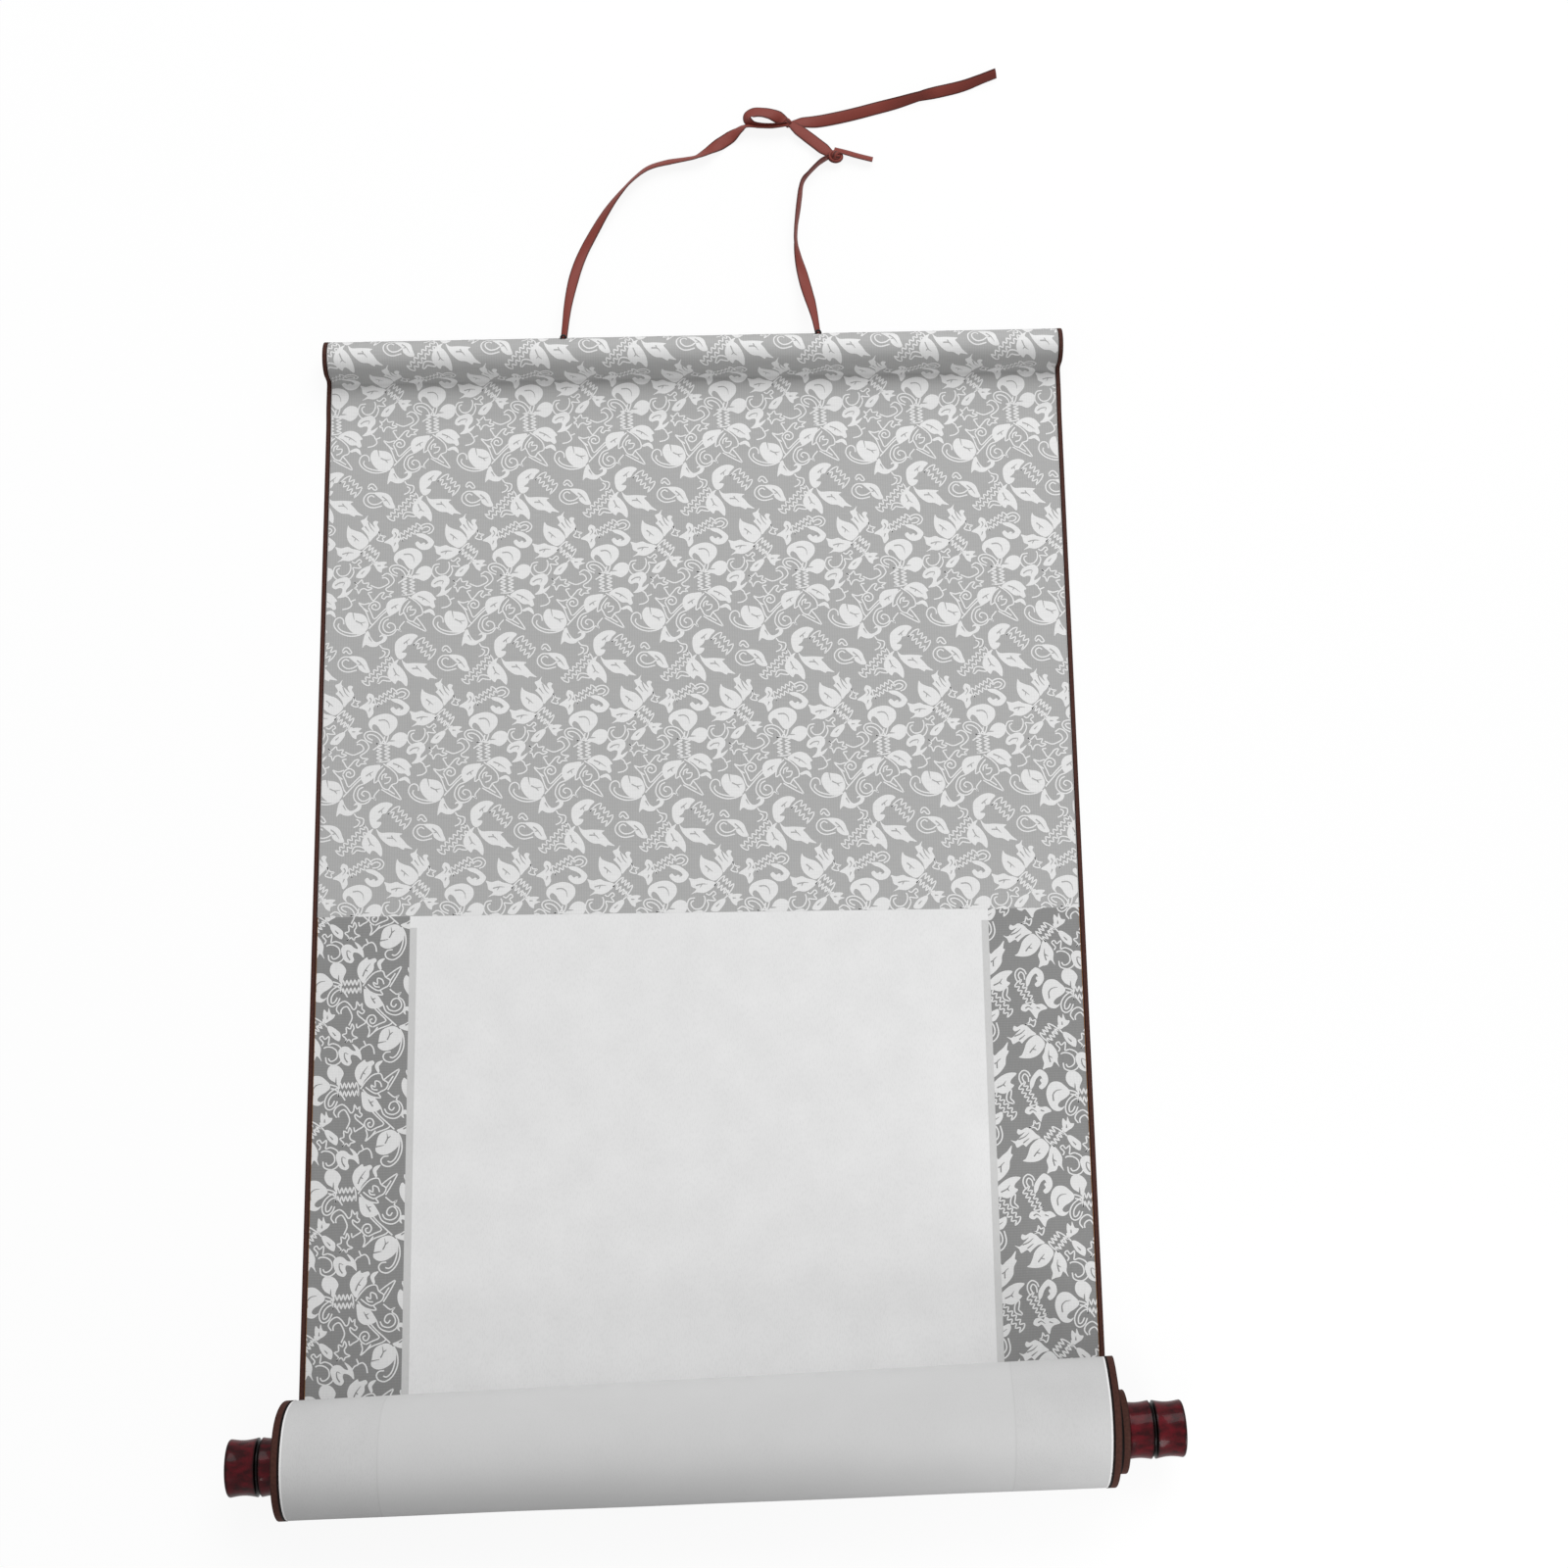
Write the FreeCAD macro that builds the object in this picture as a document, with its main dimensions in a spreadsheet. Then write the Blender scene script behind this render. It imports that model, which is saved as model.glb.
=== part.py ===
import FreeCAD, Part

import math
import os

from FreeCAD import Placement, Rotation, Vector
import Sketcher

# A blank hanging scroll that lies face up and part unrolled.
# X runs along the rods, Y from the roll towards the hanging ribbon and Z up.
# The scroll's own zero is the middle of the sheet's width, on the line where the flat sheet
# meets the roll. Each piece is then placed so that the origin is below the middle of the whole.

doc = FreeCAD.newDocument("HangingScroll")

# Driving dimensions, in millimetres and degrees
SIZES = {
    # sheet and its layers
    "sheet_width": 330.0,
    "flat_length": 469.2,
    "backing_thickness": 0.4,
    "facing_thickness": 0.3,
    "tape_thickness": 0.15,
    "tape_front_width": 2.4,
    "tape_back_width": 3.5,
    "picture_width": 247.0,
    "picture_top": 216.4,
    "margin_width": 3.0,
    "margin_start": 5.0,
    "layer_gap": 0.02,
    # top rod and the fold round it
    "top_rod_diameter": 14.0,
    "top_rod_inset": 0.5,
    "top_rod_skew": 0.69,
    "fold_radius": 2.6,
    "fold_lap": 5.0,
    "flap_length": 19.4,
    "flap_gap": 0.05,
    "flap_ramp": 10.0,
    # roll
    "roll_radius_left": 23.3,
    "roll_radius_right": 25.5,
    "roll_skew": 1.6,
    "core_radius": 16.6,
    "core_gap_left": 2.1,
    "core_gap_right": 1.2,
    "core_angle": 57.0,
    "core_half_turns": 5.0,
    # lower rod and its knobs
    "roller_diameter": 22.0,
    "roller_clearance": 0.05,
    "roller_overhang": 2.3,
    "roller_shift": 1.85,
    "tenon_diameter": 10.0,
    "tenon_length": 12.0,
    "tenon_clearance": 0.1,
    "knob_length": 22.9,
    "knob_radius": 11.2,
    "knob_bead_radius": 11.4,
    "knob_groove_place": 10.4,
    "knob_groove_width": 1.8,
    "knob_groove_depth": 1.0,
    "knob_waist_bend": 30.0,
    "knob_edge_round": 0.7,
    # staples
    "staple_wire": 0.9,
    "staple_width": 3.0,
    "staple_stand": 1.9,
    "staple_depth": 5.0,
    "staple_angle": 40.0,
    "staple_spacing": 113.9,
    "staple_shift": -1.35,
    "staple_clearance": 0.05,
    # ribbon
    "ribbon_width": 6.0,
    "ribbon_thickness": 0.6,
    "ribbon_bed": 0.1,
    "knot_diameter": 5.6,
    "knot_height": 5.0,
    "knot_bevel": 1.2,
}

sheet = doc.addObject("Spreadsheet::Sheet", "Sizes")
for row, (alias, value) in enumerate(SIZES.items(), start=1):
    sheet.set("A%d" % row, alias)
    sheet.set("B%d" % row, str(value))
    sheet.setAlias("B%d" % row, alias)
doc.recompute()


def size(alias):
    """The value of one named dimension, read from the sheet."""
    return float(sheet.get(alias))


# Sizes that follow from the driving ones
HALF_WIDTH = size("sheet_width") / 2
TAPE = size("tape_thickness")
BACKING_TOP = TAPE + size("backing_thickness")
FACE_TOP = BACKING_TOP + size("facing_thickness")
STACK = FACE_TOP + TAPE
EDGE = HALF_WIDTH - TAPE - size("layer_gap")
TOP_ROD_RADIUS = size("top_rod_diameter") / 2
TOP_ROD_HEIGHT = STACK + TOP_ROD_RADIUS
ROLLER_RADIUS = size("roller_diameter") / 2
CORE_TURNS = int(size("core_half_turns"))
CORE_STEP = (
    size("core_radius") - STACK - size("roller_clearance") - ROLLER_RADIUS
) / (CORE_TURNS - 1)
RIBBON_LIFT = size("ribbon_bed") + size("ribbon_thickness") / 2


def between(left, right, x):
    """A size that runs evenly from its left value to its right value across the sheet."""
    share = (x + HALF_WIDTH) / (2 * HALF_WIDTH)
    return left + (right - left) * share


def roll_radius(x):
    return between(size("roll_radius_left"), size("roll_radius_right"), x)


def core_gap(x):
    return between(size("core_gap_left"), size("core_gap_right"), x)


def contact_line(x):
    """Where the flat sheet meets the roll: a line skewed a little against the rod."""
    return x * math.tan(math.radians(size("roll_skew")))


def rod_line(x):
    """The top rod's axis: a line across the end of the flat sheet, skewed a little too."""
    return size("flat_length") + x * math.tan(math.radians(size("top_rod_skew")))


def core_centre(x, step=0.0):
    """The centre of the tight core's arcs, low and to the near side inside the loose turn."""
    angle = math.radians(size("core_angle"))
    reach = roll_radius(x) - core_gap(x) - size("core_radius") - step
    return (
        contact_line(x) - reach * math.cos(angle),
        roll_radius(x) - reach * math.sin(angle),
    )


# The sheet's path in a plane across the rods.
# Each stretch is a line or an arc of the outer back face, from the flap to the roll's core.
# An arc is (centre, radius, first angle, last angle). The front face lies outside the arcs
# that turn anticlockwise and inside those that turn clockwise.

def flat_line(start, end):
    return ("line", start, end)


def arc(centre, radius, first, last):
    return ("arc", centre, radius, first, last)


def sheet_path(x):
    """All stretches of the sheet's path at the distance x from its middle, in order."""
    rod_y = rod_line(x)
    flap_end = rod_y - size("flap_length")
    fold = size("fold_radius")
    wall_y = rod_y - TOP_ROD_RADIUS
    toe_y = wall_y - fold
    ramp = size("flap_ramp")
    ramp_end = flap_end - ramp
    lift = STACK + size("flap_gap")
    bend = (ramp ** 2 + lift ** 2) / (4 * lift)
    lean = math.degrees(math.asin(ramp / 2 / bend))
    meet = contact_line(x)
    outer = roll_radius(x)
    join = size("core_angle")
    gap = core_gap(x)
    second = outer - gap / 2
    second_centre = (
        meet + gap / 2 * math.cos(math.radians(join)),
        outer + gap / 2 * math.sin(math.radians(join)),
    )
    path = [
        flat_line((flap_end, STACK), (rod_y, STACK)),
        arc((rod_y, TOP_ROD_HEIGHT), TOP_ROD_RADIUS, -90, 180),
        flat_line((wall_y, TOP_ROD_HEIGHT), (wall_y, lift + fold)),
        arc((toe_y, lift + fold), fold, 0, -90),
        flat_line((toe_y, lift), (flap_end, lift)),
        arc((flap_end, lift - bend), bend, 90, 90 + lean),
        arc((ramp_end, bend), bend, -90 + lean, -90),
        flat_line((ramp_end, 0), (size("picture_top"), 0)),
        flat_line((size("picture_top"), 0), (meet, 0)),
        arc((meet, outer), outer, -90, join - 360),
        arc(second_centre, second, join, join - 180),
    ]
    for turn in range(CORE_TURNS):
        radius = size("core_radius") - turn * CORE_STEP
        if turn % 2 == 0:
            path.append(arc(core_centre(x), radius, join - 180, join - 360))
        else:
            path.append(arc(core_centre(x, CORE_STEP), radius, join, join - 180))
    return path


# The numbers of the stretches where the fold, the cloth panel, the flat sheet and the roll end
FOLD_END = 7
PANEL_END = 8
FLAT_END = 9
ROLL_END = 11 + CORE_TURNS


def point_on(centre, radius, angle):
    turn = math.radians(angle)
    return (centre[0] + radius * math.cos(turn), centre[1] + radius * math.sin(turn))


def offset_points(x, stretch, offset):
    """The ends of a stretch, moved in front of the path by offset, and an arc's middle."""
    if stretch[0] == "line":
        (y0, z0), (y1, z1) = stretch[1], stretch[2]
        length = math.hypot(y1 - y0, z1 - z0)
        # The front lies to the right of the way that the path runs
        shift_y = (z1 - z0) / length * offset
        shift_z = (y0 - y1) / length * offset
        return [Vector(x, y0 + shift_y, z0 + shift_z), Vector(x, y1 + shift_y, z1 + shift_z)]
    centre, radius, start, end = stretch[1:]
    radius += offset if end > start else -offset
    places = (start, (start + end) / 2, end)
    return [Vector(x, *point_on(centre, radius, place)) for place in places]


def edge_through(points):
    """A straight edge through two points, or an arc through three."""
    curve = Part.LineSegment if len(points) == 2 else Part.Arc
    return curve(*points).toShape()


def layer_outline(x, stretches, low, high):
    """The closed outline of a layer between two offsets, in the plane at x."""
    out = [offset_points(x, stretch, low) for stretch in stretches]
    back = [offset_points(x, stretch, high)[::-1] for stretch in reversed(stretches)]
    caps = [[out[-1][-1], back[0][0]], [back[-1][-1], out[0][0]]]
    edges = [edge_through(points) for points in out + caps[:1] + back + caps[1:]]
    return Part.Wire(edges)


def layer(left, right, begin, end, low, high):
    """A layer of the sheet as a ruled solid between its outlines at two sides."""
    outlines = [layer_outline(x, sheet_path(x)[begin:end], low, high) for x in (left, right)]
    return Part.makeLoft(outlines, True, True)


def folded_layer(end, low, high):
    """A layer from the flap to a flat stretch, full width.

    The fold is drawn square to the skewed rod with a short lap on the flat part, carried past
    both sides of the sheet and cut off there. The flat part joins it at the lap.
    """
    path = sheet_path(0)
    start_y = path[FOLD_END][1][0]
    lap = flat_line((start_y, 0), (start_y - size("fold_lap"), 0))
    face = Part.Face(layer_outline(0, path[:FOLD_END] + [lap], low, high))
    skew = Rotation(Vector(0, 0, 1), size("top_rod_skew"))
    face.Placement = Placement(Vector(), skew, Vector(0, rod_line(0), 0))
    reach = skew.multVec(Vector(EDGE + size("fold_lap"), 0, 0))
    face.translate(-reach)
    corner = Vector(-EDGE, size("picture_top"), 0)
    sides = Part.makeBox(2 * EDGE, size("flat_length"), 2 * TOP_ROD_HEIGHT, corner)
    flat = layer(-EDGE, EDGE, FOLD_END, end, low, high)
    return face.extrude(reach * 2).common(sides).fuse(flat).removeSplitter()


def place_of_box():
    """The middle of the scroll's box in X and Y, from the knobs, the top fold and the roll."""
    far = rod_line(HALF_WIDTH) + TOP_ROD_RADIUS + STACK
    near = contact_line(-HALF_WIDTH) - roll_radius(-HALF_WIDTH)
    return size("roller_shift"), (far + near) / 2


MIDDLE_X, MIDDLE_Y = place_of_box()
HOME = Placement(Vector(-MIDDLE_X, -MIDDLE_Y, 0), Rotation())
nodes = []


def add_shape(name, shape, place=HOME):
    """A sub-part whose shape is worked out here, with its own name and placement."""
    item = doc.addObject("Part::Feature", name)
    item.Shape = shape
    item.Placement = place
    item.Label = name
    nodes.append(item)
    return item


# The layers of the sheet

def staple_places():
    """The X places of the two staples."""
    half = size("staple_spacing") / 2
    return {"left": size("staple_shift") - half, "right": size("staple_shift") + half}


def staple_home(x):
    """The place of a staple's own zero: on the top rod's axis, with its Z out through the fold."""
    lean = Rotation(Vector(1, 0, 0), size("staple_angle") - 90)
    skew = Rotation(Vector(0, 0, 1), size("top_rod_skew"))
    return Placement(Vector(x, rod_line(x), TOP_ROD_HEIGHT), skew.multiply(lean))


STAPLE_TOP = TOP_ROD_RADIUS + STACK + size("staple_stand")
STAPLE_FOOT = TOP_ROD_RADIUS - size("staple_depth")
LEG_REACH = (size("staple_width") - size("staple_wire")) / 2


def staple_holes():
    """The holes that the staples' legs make in the fold and the top rod."""
    radius = size("staple_wire") / 2 + size("staple_clearance")
    foot = STAPLE_FOOT - size("staple_clearance")
    holes = []
    for x in staple_places().values():
        for side in (-1, 1):
            hole = Part.makeCylinder(radius, STAPLE_TOP - foot, Vector(side * LEG_REACH, 0, foot))
            hole.Placement = staple_home(x).multiply(hole.Placement)
            holes.append(hole)
    return Part.Compound(holes)


HOLES = staple_holes()
PICTURE_HALF = size("picture_width") / 2
MARGIN_INNER = PICTURE_HALF - size("margin_width")


def make_sheet_roll():
    """The backing, and the roll's turns, in which backing and facing are one thickness."""
    turns = layer(-EDGE, EDGE, FLAT_END, ROLL_END, TAPE, FACE_TOP)
    flat = folded_layer(FLAT_END, TAPE, BACKING_TOP).cut(HOLES)
    add_shape("backing_and_roll", flat.fuse(turns))


def make_brocade():
    """The cloth above and beside the picture, on the backing."""
    panel = folded_layer(PANEL_END, BACKING_TOP, FACE_TOP).cut(HOLES)
    add_shape("top_brocade_panel", panel)
    for side, reach in {
        "left": (-EDGE, -PICTURE_HALF),
        "right": (PICTURE_HALF, EDGE),
    }.items():
        add_shape(side + "_brocade_strip", flat_facing(*reach))


def flat_facing(left, right):
    """A strip of facing from the picture's top edge to the line where the roll starts."""
    return layer(left, right, PANEL_END, FLAT_END, BACKING_TOP, FACE_TOP)


def make_picture():
    """The picture sheet, full width at its top, with the margin strips let into its sides."""
    top = size("picture_top")
    start = top - size("margin_start")
    picture = flat_facing(-MARGIN_INNER, MARGIN_INNER)
    for side, (low, high) in {
        "left": (-PICTURE_HALF, -MARGIN_INNER),
        "right": (MARGIN_INNER, PICTURE_HALF),
    }.items():
        corner = Vector(low, start, BACKING_TOP)
        shoulder = Part.makeBox(high - low, top - start, FACE_TOP - BACKING_TOP, corner)
        add_shape(side + "_margin_strip", flat_facing(low, high).cut(shoulder))
        picture = picture.fuse(shoulder)
    add_shape("picture_paper", picture.removeSplitter())


def make_edging():
    """A tape folded round each long edge, swept along the whole sheet.

    Its section is a U: a lip in front of the sheet, a web at the edge and a lip behind it.
    """
    gap = size("layer_gap")
    back, front = TAPE - gap, FACE_TOP + gap
    lip_back, lip_front = size("tape_back_width"), size("tape_front_width")
    section = [(0, 0), (lip_back, 0), (lip_back, back), (TAPE, back),
               (TAPE, front), (lip_front, front), (lip_front, STACK), (0, STACK)]
    for side, sign in (("left", -1), ("right", 1)):
        edge = sign * HALF_WIDTH
        stretches = sheet_path(edge - sign * lip_back / 2)
        path = Part.Wire([edge_through(offset_points(edge, stretch, 0)) for stretch in stretches])
        start = stretches[0][1]
        corners = [Vector(edge - sign * reach, start[0], start[1] - offset)
                   for reach, offset in section]
        outline = Part.makePolygon(corners + corners[:1])
        add_shape(side + "_edging", path.makePipeShell([outline], True, False))


# Rods and knobs

def origin_plane(body, role):
    return [item for item in body.Origin.OriginFeatures if item.Role == role][0]


def new_sketch(body, name, role):
    sketch = body.newObject("Sketcher::SketchObject", name)
    sketch.AttachmentSupport = [(origin_plane(body, role), "")]
    sketch.MapMode = "FlatFace"
    return sketch


def circle_sketch(body, name, role, radius):
    """A circle about the sketch's zero with its radius bound to an expression."""
    sketch = new_sketch(body, name, role)
    sketch.addGeometry(Part.Circle(Vector(), Vector(0, 0, 1), 1.0), False)
    sketch.addConstraint(Sketcher.Constraint("Coincident", 0, 3, -1, 1))
    rule = sketch.addConstraint(Sketcher.Constraint("Radius", 0, 1.0))
    sketch.setExpression("Constraints[%d]" % rule, radius)
    return sketch


def bar(body, name, radius, length):
    """A round bar along the body's X axis, as long each way from its middle."""
    pad = body.newObject("PartDesign::Pad", name)
    pad.Profile = circle_sketch(body, name + "Section", "YZ_Plane", radius)
    pad.SideType = "Symmetric"
    pad.setExpression("Length", length)
    doc.recompute()
    return pad


def add_body(name, place):
    body = doc.addObject("PartDesign::Body", name)
    body.Label = name
    body.Placement = HOME.multiply(place)
    nodes.append(body)
    return body


def make_top_rod():
    """The round stave in the fold, drilled for the staples' legs."""
    stock = doc.addObject("Part::Cylinder", "TopRodStock")
    stock.setExpression("Radius", "Sizes.top_rod_diameter / 2")
    stock.setExpression("Height", "Sizes.sheet_width - 2 * Sizes.top_rod_inset")
    half = size("sheet_width") / 2 - size("top_rod_inset")
    ends = [Vector(x, rod_line(x), TOP_ROD_HEIGHT) for x in (-half, half)]
    stock.Placement = Placement(ends[0], Rotation(Vector(0, 0, 1), ends[1] - ends[0]))
    drills = doc.addObject("Part::Feature", "StapleHoles")
    drills.Shape = HOLES
    rod = doc.addObject("Part::Cut", "TopRod")
    rod.Base = stock
    rod.Tool = drills
    rod.Label = "top_rod"
    rod.Placement = HOME
    nodes.append(rod)


def roller_home():
    """The lower rod's place: its axis follows the middle of the innermost turn."""
    step = CORE_STEP if CORE_TURNS % 2 == 0 else 0.0
    ends = [Vector(x, *core_centre(x, step)) for x in (-HALF_WIDTH, HALF_WIDTH)]
    run = ends[1] - ends[0]
    share = (size("roller_shift") + HALF_WIDTH) / (2 * HALF_WIDTH)
    return Placement(ends[0] + run * share, Rotation(Vector(1, 0, 0), run))


ROLLER_LENGTH = "Sizes.sheet_width + 2 * Sizes.roller_overhang"


def make_roller():
    body = add_body("roller_rod", roller_home())
    bar(body, "RollerTenons", "Sizes.tenon_diameter / 2",
        ROLLER_LENGTH + " + 2 * Sizes.tenon_length")
    bar(body, "RollerBarrel", "Sizes.roller_diameter / 2", ROLLER_LENGTH)


def end_at(sketch, edge, place):
    """The number of the end of a sketch's edge, 1 or 2, that lies at a place."""
    return min((1, 2), key=lambda end: sketch.getPoint(edge, end).distanceToPoint(place))


def turned_profile(body, name, points, bends):
    """A closed profile beside the sketch's X axis.

    Each point is a pair of expressions for its place along the axis and its radius. The edge
    that leaves a point named in bends is an arc of that radius, which swells away from the
    axis where its second value is 1 and is hollow where it is -1.
    """
    sketch = new_sketch(body, name, "XY_Plane")
    places = [Vector(*[float(sheet.evalExpression(text)) for text in pair], 0) for pair in points]
    count = len(places)
    for index in range(count):
        first, last = places[index], places[(index + 1) % count]
        if index in bends:
            radius, side = bends[index]
            bend = float(sheet.evalExpression(radius))
            half = first.distanceToPoint(last) / 2
            rise = bend - math.sqrt(bend ** 2 - half ** 2)
            across = (last - first).cross(Vector(0, 0, 1)).normalize()
            middle = (first + last) / 2 - across * rise * side
            sketch.addGeometry(Part.Arc(first, middle, last), False)
        else:
            sketch.addGeometry(Part.LineSegment(first, last), False)
    for index, pair in enumerate(points):
        joint = (index - 1) % count
        start = end_at(sketch, index, places[index])
        end = end_at(sketch, joint, places[index])
        sketch.addConstraint(Sketcher.Constraint("Coincident", joint, end, index, start))
        for kind, axis, text in (("DistanceX", -2, pair[0]), ("DistanceY", -1, pair[1])):
            value = float(sheet.evalExpression(text))
            if abs(value) < 1e-9:
                sketch.addConstraint(Sketcher.Constraint("PointOnObject", index, start, axis))
            else:
                rule = sketch.addConstraint(
                    Sketcher.Constraint(kind, -1, 1, index, start, value))
                sketch.setExpression("Constraints[%d]" % rule, text)
        if index in bends:
            bend = float(sheet.evalExpression(bends[index][0]))
            rule = sketch.addConstraint(Sketcher.Constraint("Radius", index, bend))
            sketch.setExpression("Constraints[%d]" % rule, bends[index][0])
    return sketch


def make_knob(name, place):
    """A turned knob with a socket for the tenon, two hollow waists and a ring groove."""
    body = add_body(name, place)
    socket = "Sizes.tenon_diameter / 2 + Sizes.tenon_clearance"
    depth = "Sizes.tenon_length + Sizes.tenon_clearance"
    groove = "Sizes.knob_groove_place"
    half_groove = "Sizes.knob_groove_width / 2"
    points = [
        ("0", socket),
        ("0", "Sizes.knob_radius"),
        (groove + " - " + half_groove, "Sizes.knob_bead_radius"),
        (groove, "Sizes.knob_bead_radius - Sizes.knob_groove_depth"),
        (groove + " + " + half_groove, "Sizes.knob_bead_radius"),
        ("Sizes.knob_length - Sizes.knob_edge_round", "Sizes.knob_radius"),
        ("Sizes.knob_length", "Sizes.knob_radius - Sizes.knob_edge_round"),
        ("Sizes.knob_length", "0"),
        (depth, "0"),
        (depth, socket),
    ]
    waist = ("Sizes.knob_waist_bend", -1)
    edge = ("Sizes.knob_edge_round", 1)
    turned = body.newObject("PartDesign::Revolution", name + "_turning")
    sketch = turned_profile(body, name + "_profile", points, {1: waist, 4: waist, 5: edge})
    turned.Profile = sketch
    turned.ReferenceAxis = (sketch, ["H_Axis"])
    turned.Angle = 360
    doc.recompute()


def make_knobs():
    """Both knobs seat against the ends of the rod's barrel, each on its tenon."""
    half = float(sheet.evalExpression(ROLLER_LENGTH)) / 2
    outward = {"left": (-half, 180), "right": (half, 0)}
    for side, (seat, turn) in outward.items():
        own = Placement(Vector(seat, 0, 0), Rotation(Vector(0, 0, 1), turn))
        make_knob(side + "_knob", roller_home().multiply(own))


# Staples

def make_staple(name, x):
    """Round wire bent to a U, with its legs in the top rod and its bow clear of the fold."""
    body = add_body(name, staple_home(x))
    path = new_sketch(body, name + "_path", "XZ_Plane")
    bow = STAPLE_TOP - LEG_REACH - size("staple_wire") / 2
    ends = [Vector(side * LEG_REACH, z, 0) for side, z in
            ((-1, STAPLE_FOOT), (-1, bow), (1, bow), (1, STAPLE_FOOT))]
    path.addGeometry(Part.LineSegment(ends[0], ends[1]), False)
    path.addGeometry(Part.Arc(ends[1], Vector(0, bow + LEG_REACH, 0), ends[2]), False)
    path.addGeometry(Part.LineSegment(ends[2], ends[3]), False)
    section = circle_sketch(body, name + "_section", "XY_Plane", "Sizes.staple_wire / 2")
    section.AttachmentOffset = Placement(Vector(-LEG_REACH, 0, STAPLE_FOOT), Rotation())
    wire = body.newObject("PartDesign::AdditivePipe", name + "_wire")
    wire.Profile = section
    wire.Spine = (path, ["Edge1", "Edge2", "Edge3"])
    doc.recompute()


# The hanging ribbon
# Its routes and knots have their own zero, below the top rod's axis at the sheet's middle, so
# that the ribbon moves with the rod.

RIBBON_HOME = HOME.multiply(Placement(Vector(0, size("flat_length"), 0), Rotation()))


def ribbon_exit(side):
    """The first point of a strand: on the top of its staple."""
    top = staple_home(staple_places()[side]).multVec(Vector(0, 0, STAPLE_TOP + RIBBON_LIFT))
    return (top.x, top.y - size("flat_length"), top.z)


FLOOR = RIBBON_LIFT
OVER = 2.3
LEFT_ROUTE = [
    ribbon_exit("left"), (-58.5, 12.8, 13.8), (-58.3, 18.2, 9.8), (-57.6, 24.4, 4.6),
    (-56.0, 32.6, 1.2), (-52.8, 42.1, FLOOR), (-48.6, 53.0, FLOOR), (-43.2, 63.0, FLOOR),
    (-37.6, 74.0, FLOOR), (-29.9, 84.2, FLOOR), (-20.4, 92.2, FLOOR), (-9.2, 95.8, FLOOR),
    (2.7, 97.6, FLOOR), (12.4, 104.2, FLOOR), (22.0, 111.6, FLOOR), (32.6, 113.9, FLOOR),
    (43.2, 114.2, 1.6),
]
RIGHT_ROUTE = [
    ribbon_exit("right"), (55.5, 12.8, 13.8), (54.8, 18.2, 9.8), (53.2, 24.6, 4.6),
    (50.6, 32.6, 1.2), (48.2, 41.6, FLOOR), (46.9, 51.2, FLOOR), (46.5, 60.8, FLOOR),
    (46.9, 70.6, FLOOR), (48.2, 80.0, FLOOR), (54.4, 88.0, FLOOR), (63.0, 96.6, 1.6),
]
TAIL_ROUTE = [
    (47.4, 115.3, 1.6), (59.0, 117.4, FLOOR), (71.0, 120.6, FLOOR), (84.0, 123.2, FLOOR),
    (98.0, 126.4, FLOOR), (112.0, 129.8, FLOOR), (126.6, 133.8, FLOOR), (141.3, 140.0, FLOOR),
]
LOOP_ROUTE = [
    (44.4, 116.2, 3.9), (37.0, 121.0, 3.0), (30.0, 121.8, OVER), (24.6, 119.2, OVER),
    (25.6, 115.6, OVER), (32.0, 114.2, OVER), (43.4, 114.6, 2.7),
]
LINK_ROUTE = [(46.6, 113.9, 2.6), (55.2, 106.4, 1.2), (63.6, 99.1, 2.6)]
SHORT_TAIL_ROUTE = [(66.2, 98.2, 1.8), (74.4, 98.2, 0.9), (82.6, 96.2, FLOOR)]
BOW_KNOT_PLACE = (45.4, 114.9)
END_KNOT_PLACE = (64.8, 98.0)
BEND_SHARE = 0.45
LOOP_WIDTH = 2.4
SHORT_TAIL_WIDTH = 3.0


def route_path(name, points):
    """Straight runs joined by tangent arcs, each as large as its two runs allow."""
    points = [Vector(*point) for point in points]
    edges, radii = [], []
    here = points[0]
    for before, corner, after in zip(points, points[1:], points[2:]):
        back, on = before - corner, after - corner
        half_turn = (math.pi - back.getAngle(on)) / 2
        cut = BEND_SHARE * min(back.Length, on.Length)
        radius = cut / math.tan(half_turn)
        back.normalize()
        on.normalize()
        start, end = corner + back * cut, corner + on * cut
        inward = (back + on).normalize()
        middle = corner + inward * (radius / math.cos(half_turn) - radius)
        edges += [Part.LineSegment(here, start).toShape(), Part.Arc(start, middle, end).toShape()]
        radii.append(round(radius, 1))
        here = end
    edges.append(Part.LineSegment(here, points[-1]).toShape())
    print(name, "radii", radii)
    return Part.Wire(edges)


def band(name, points, width, thickness):
    """A flat ribbon along a route, its width kept level."""
    path = route_path(name, points)
    first, second = Vector(*points[0]), Vector(*points[1])
    run = second - first
    across = Vector(-run.y, run.x, 0).normalize() * (width / 2)
    rise = Vector(0, 0, thickness / 2)
    corners = [first + across + rise, first - across + rise,
               first - across - rise, first + across - rise]
    section = Part.makePolygon(corners + corners[:1])
    sweep = Part.BRepOffsetAPI.MakePipeShell(path)
    sweep.setBiNormalMode(Vector(0, 0, 1))
    sweep.add(section)
    sweep.build()
    sweep.makeSolid()
    shape = sweep.shape()
    print(name, "length", round(path.Length, 1), "volume", round(shape.Volume, 1),
          "section times length", round(width * thickness * path.Length, 1))
    return shape


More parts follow.
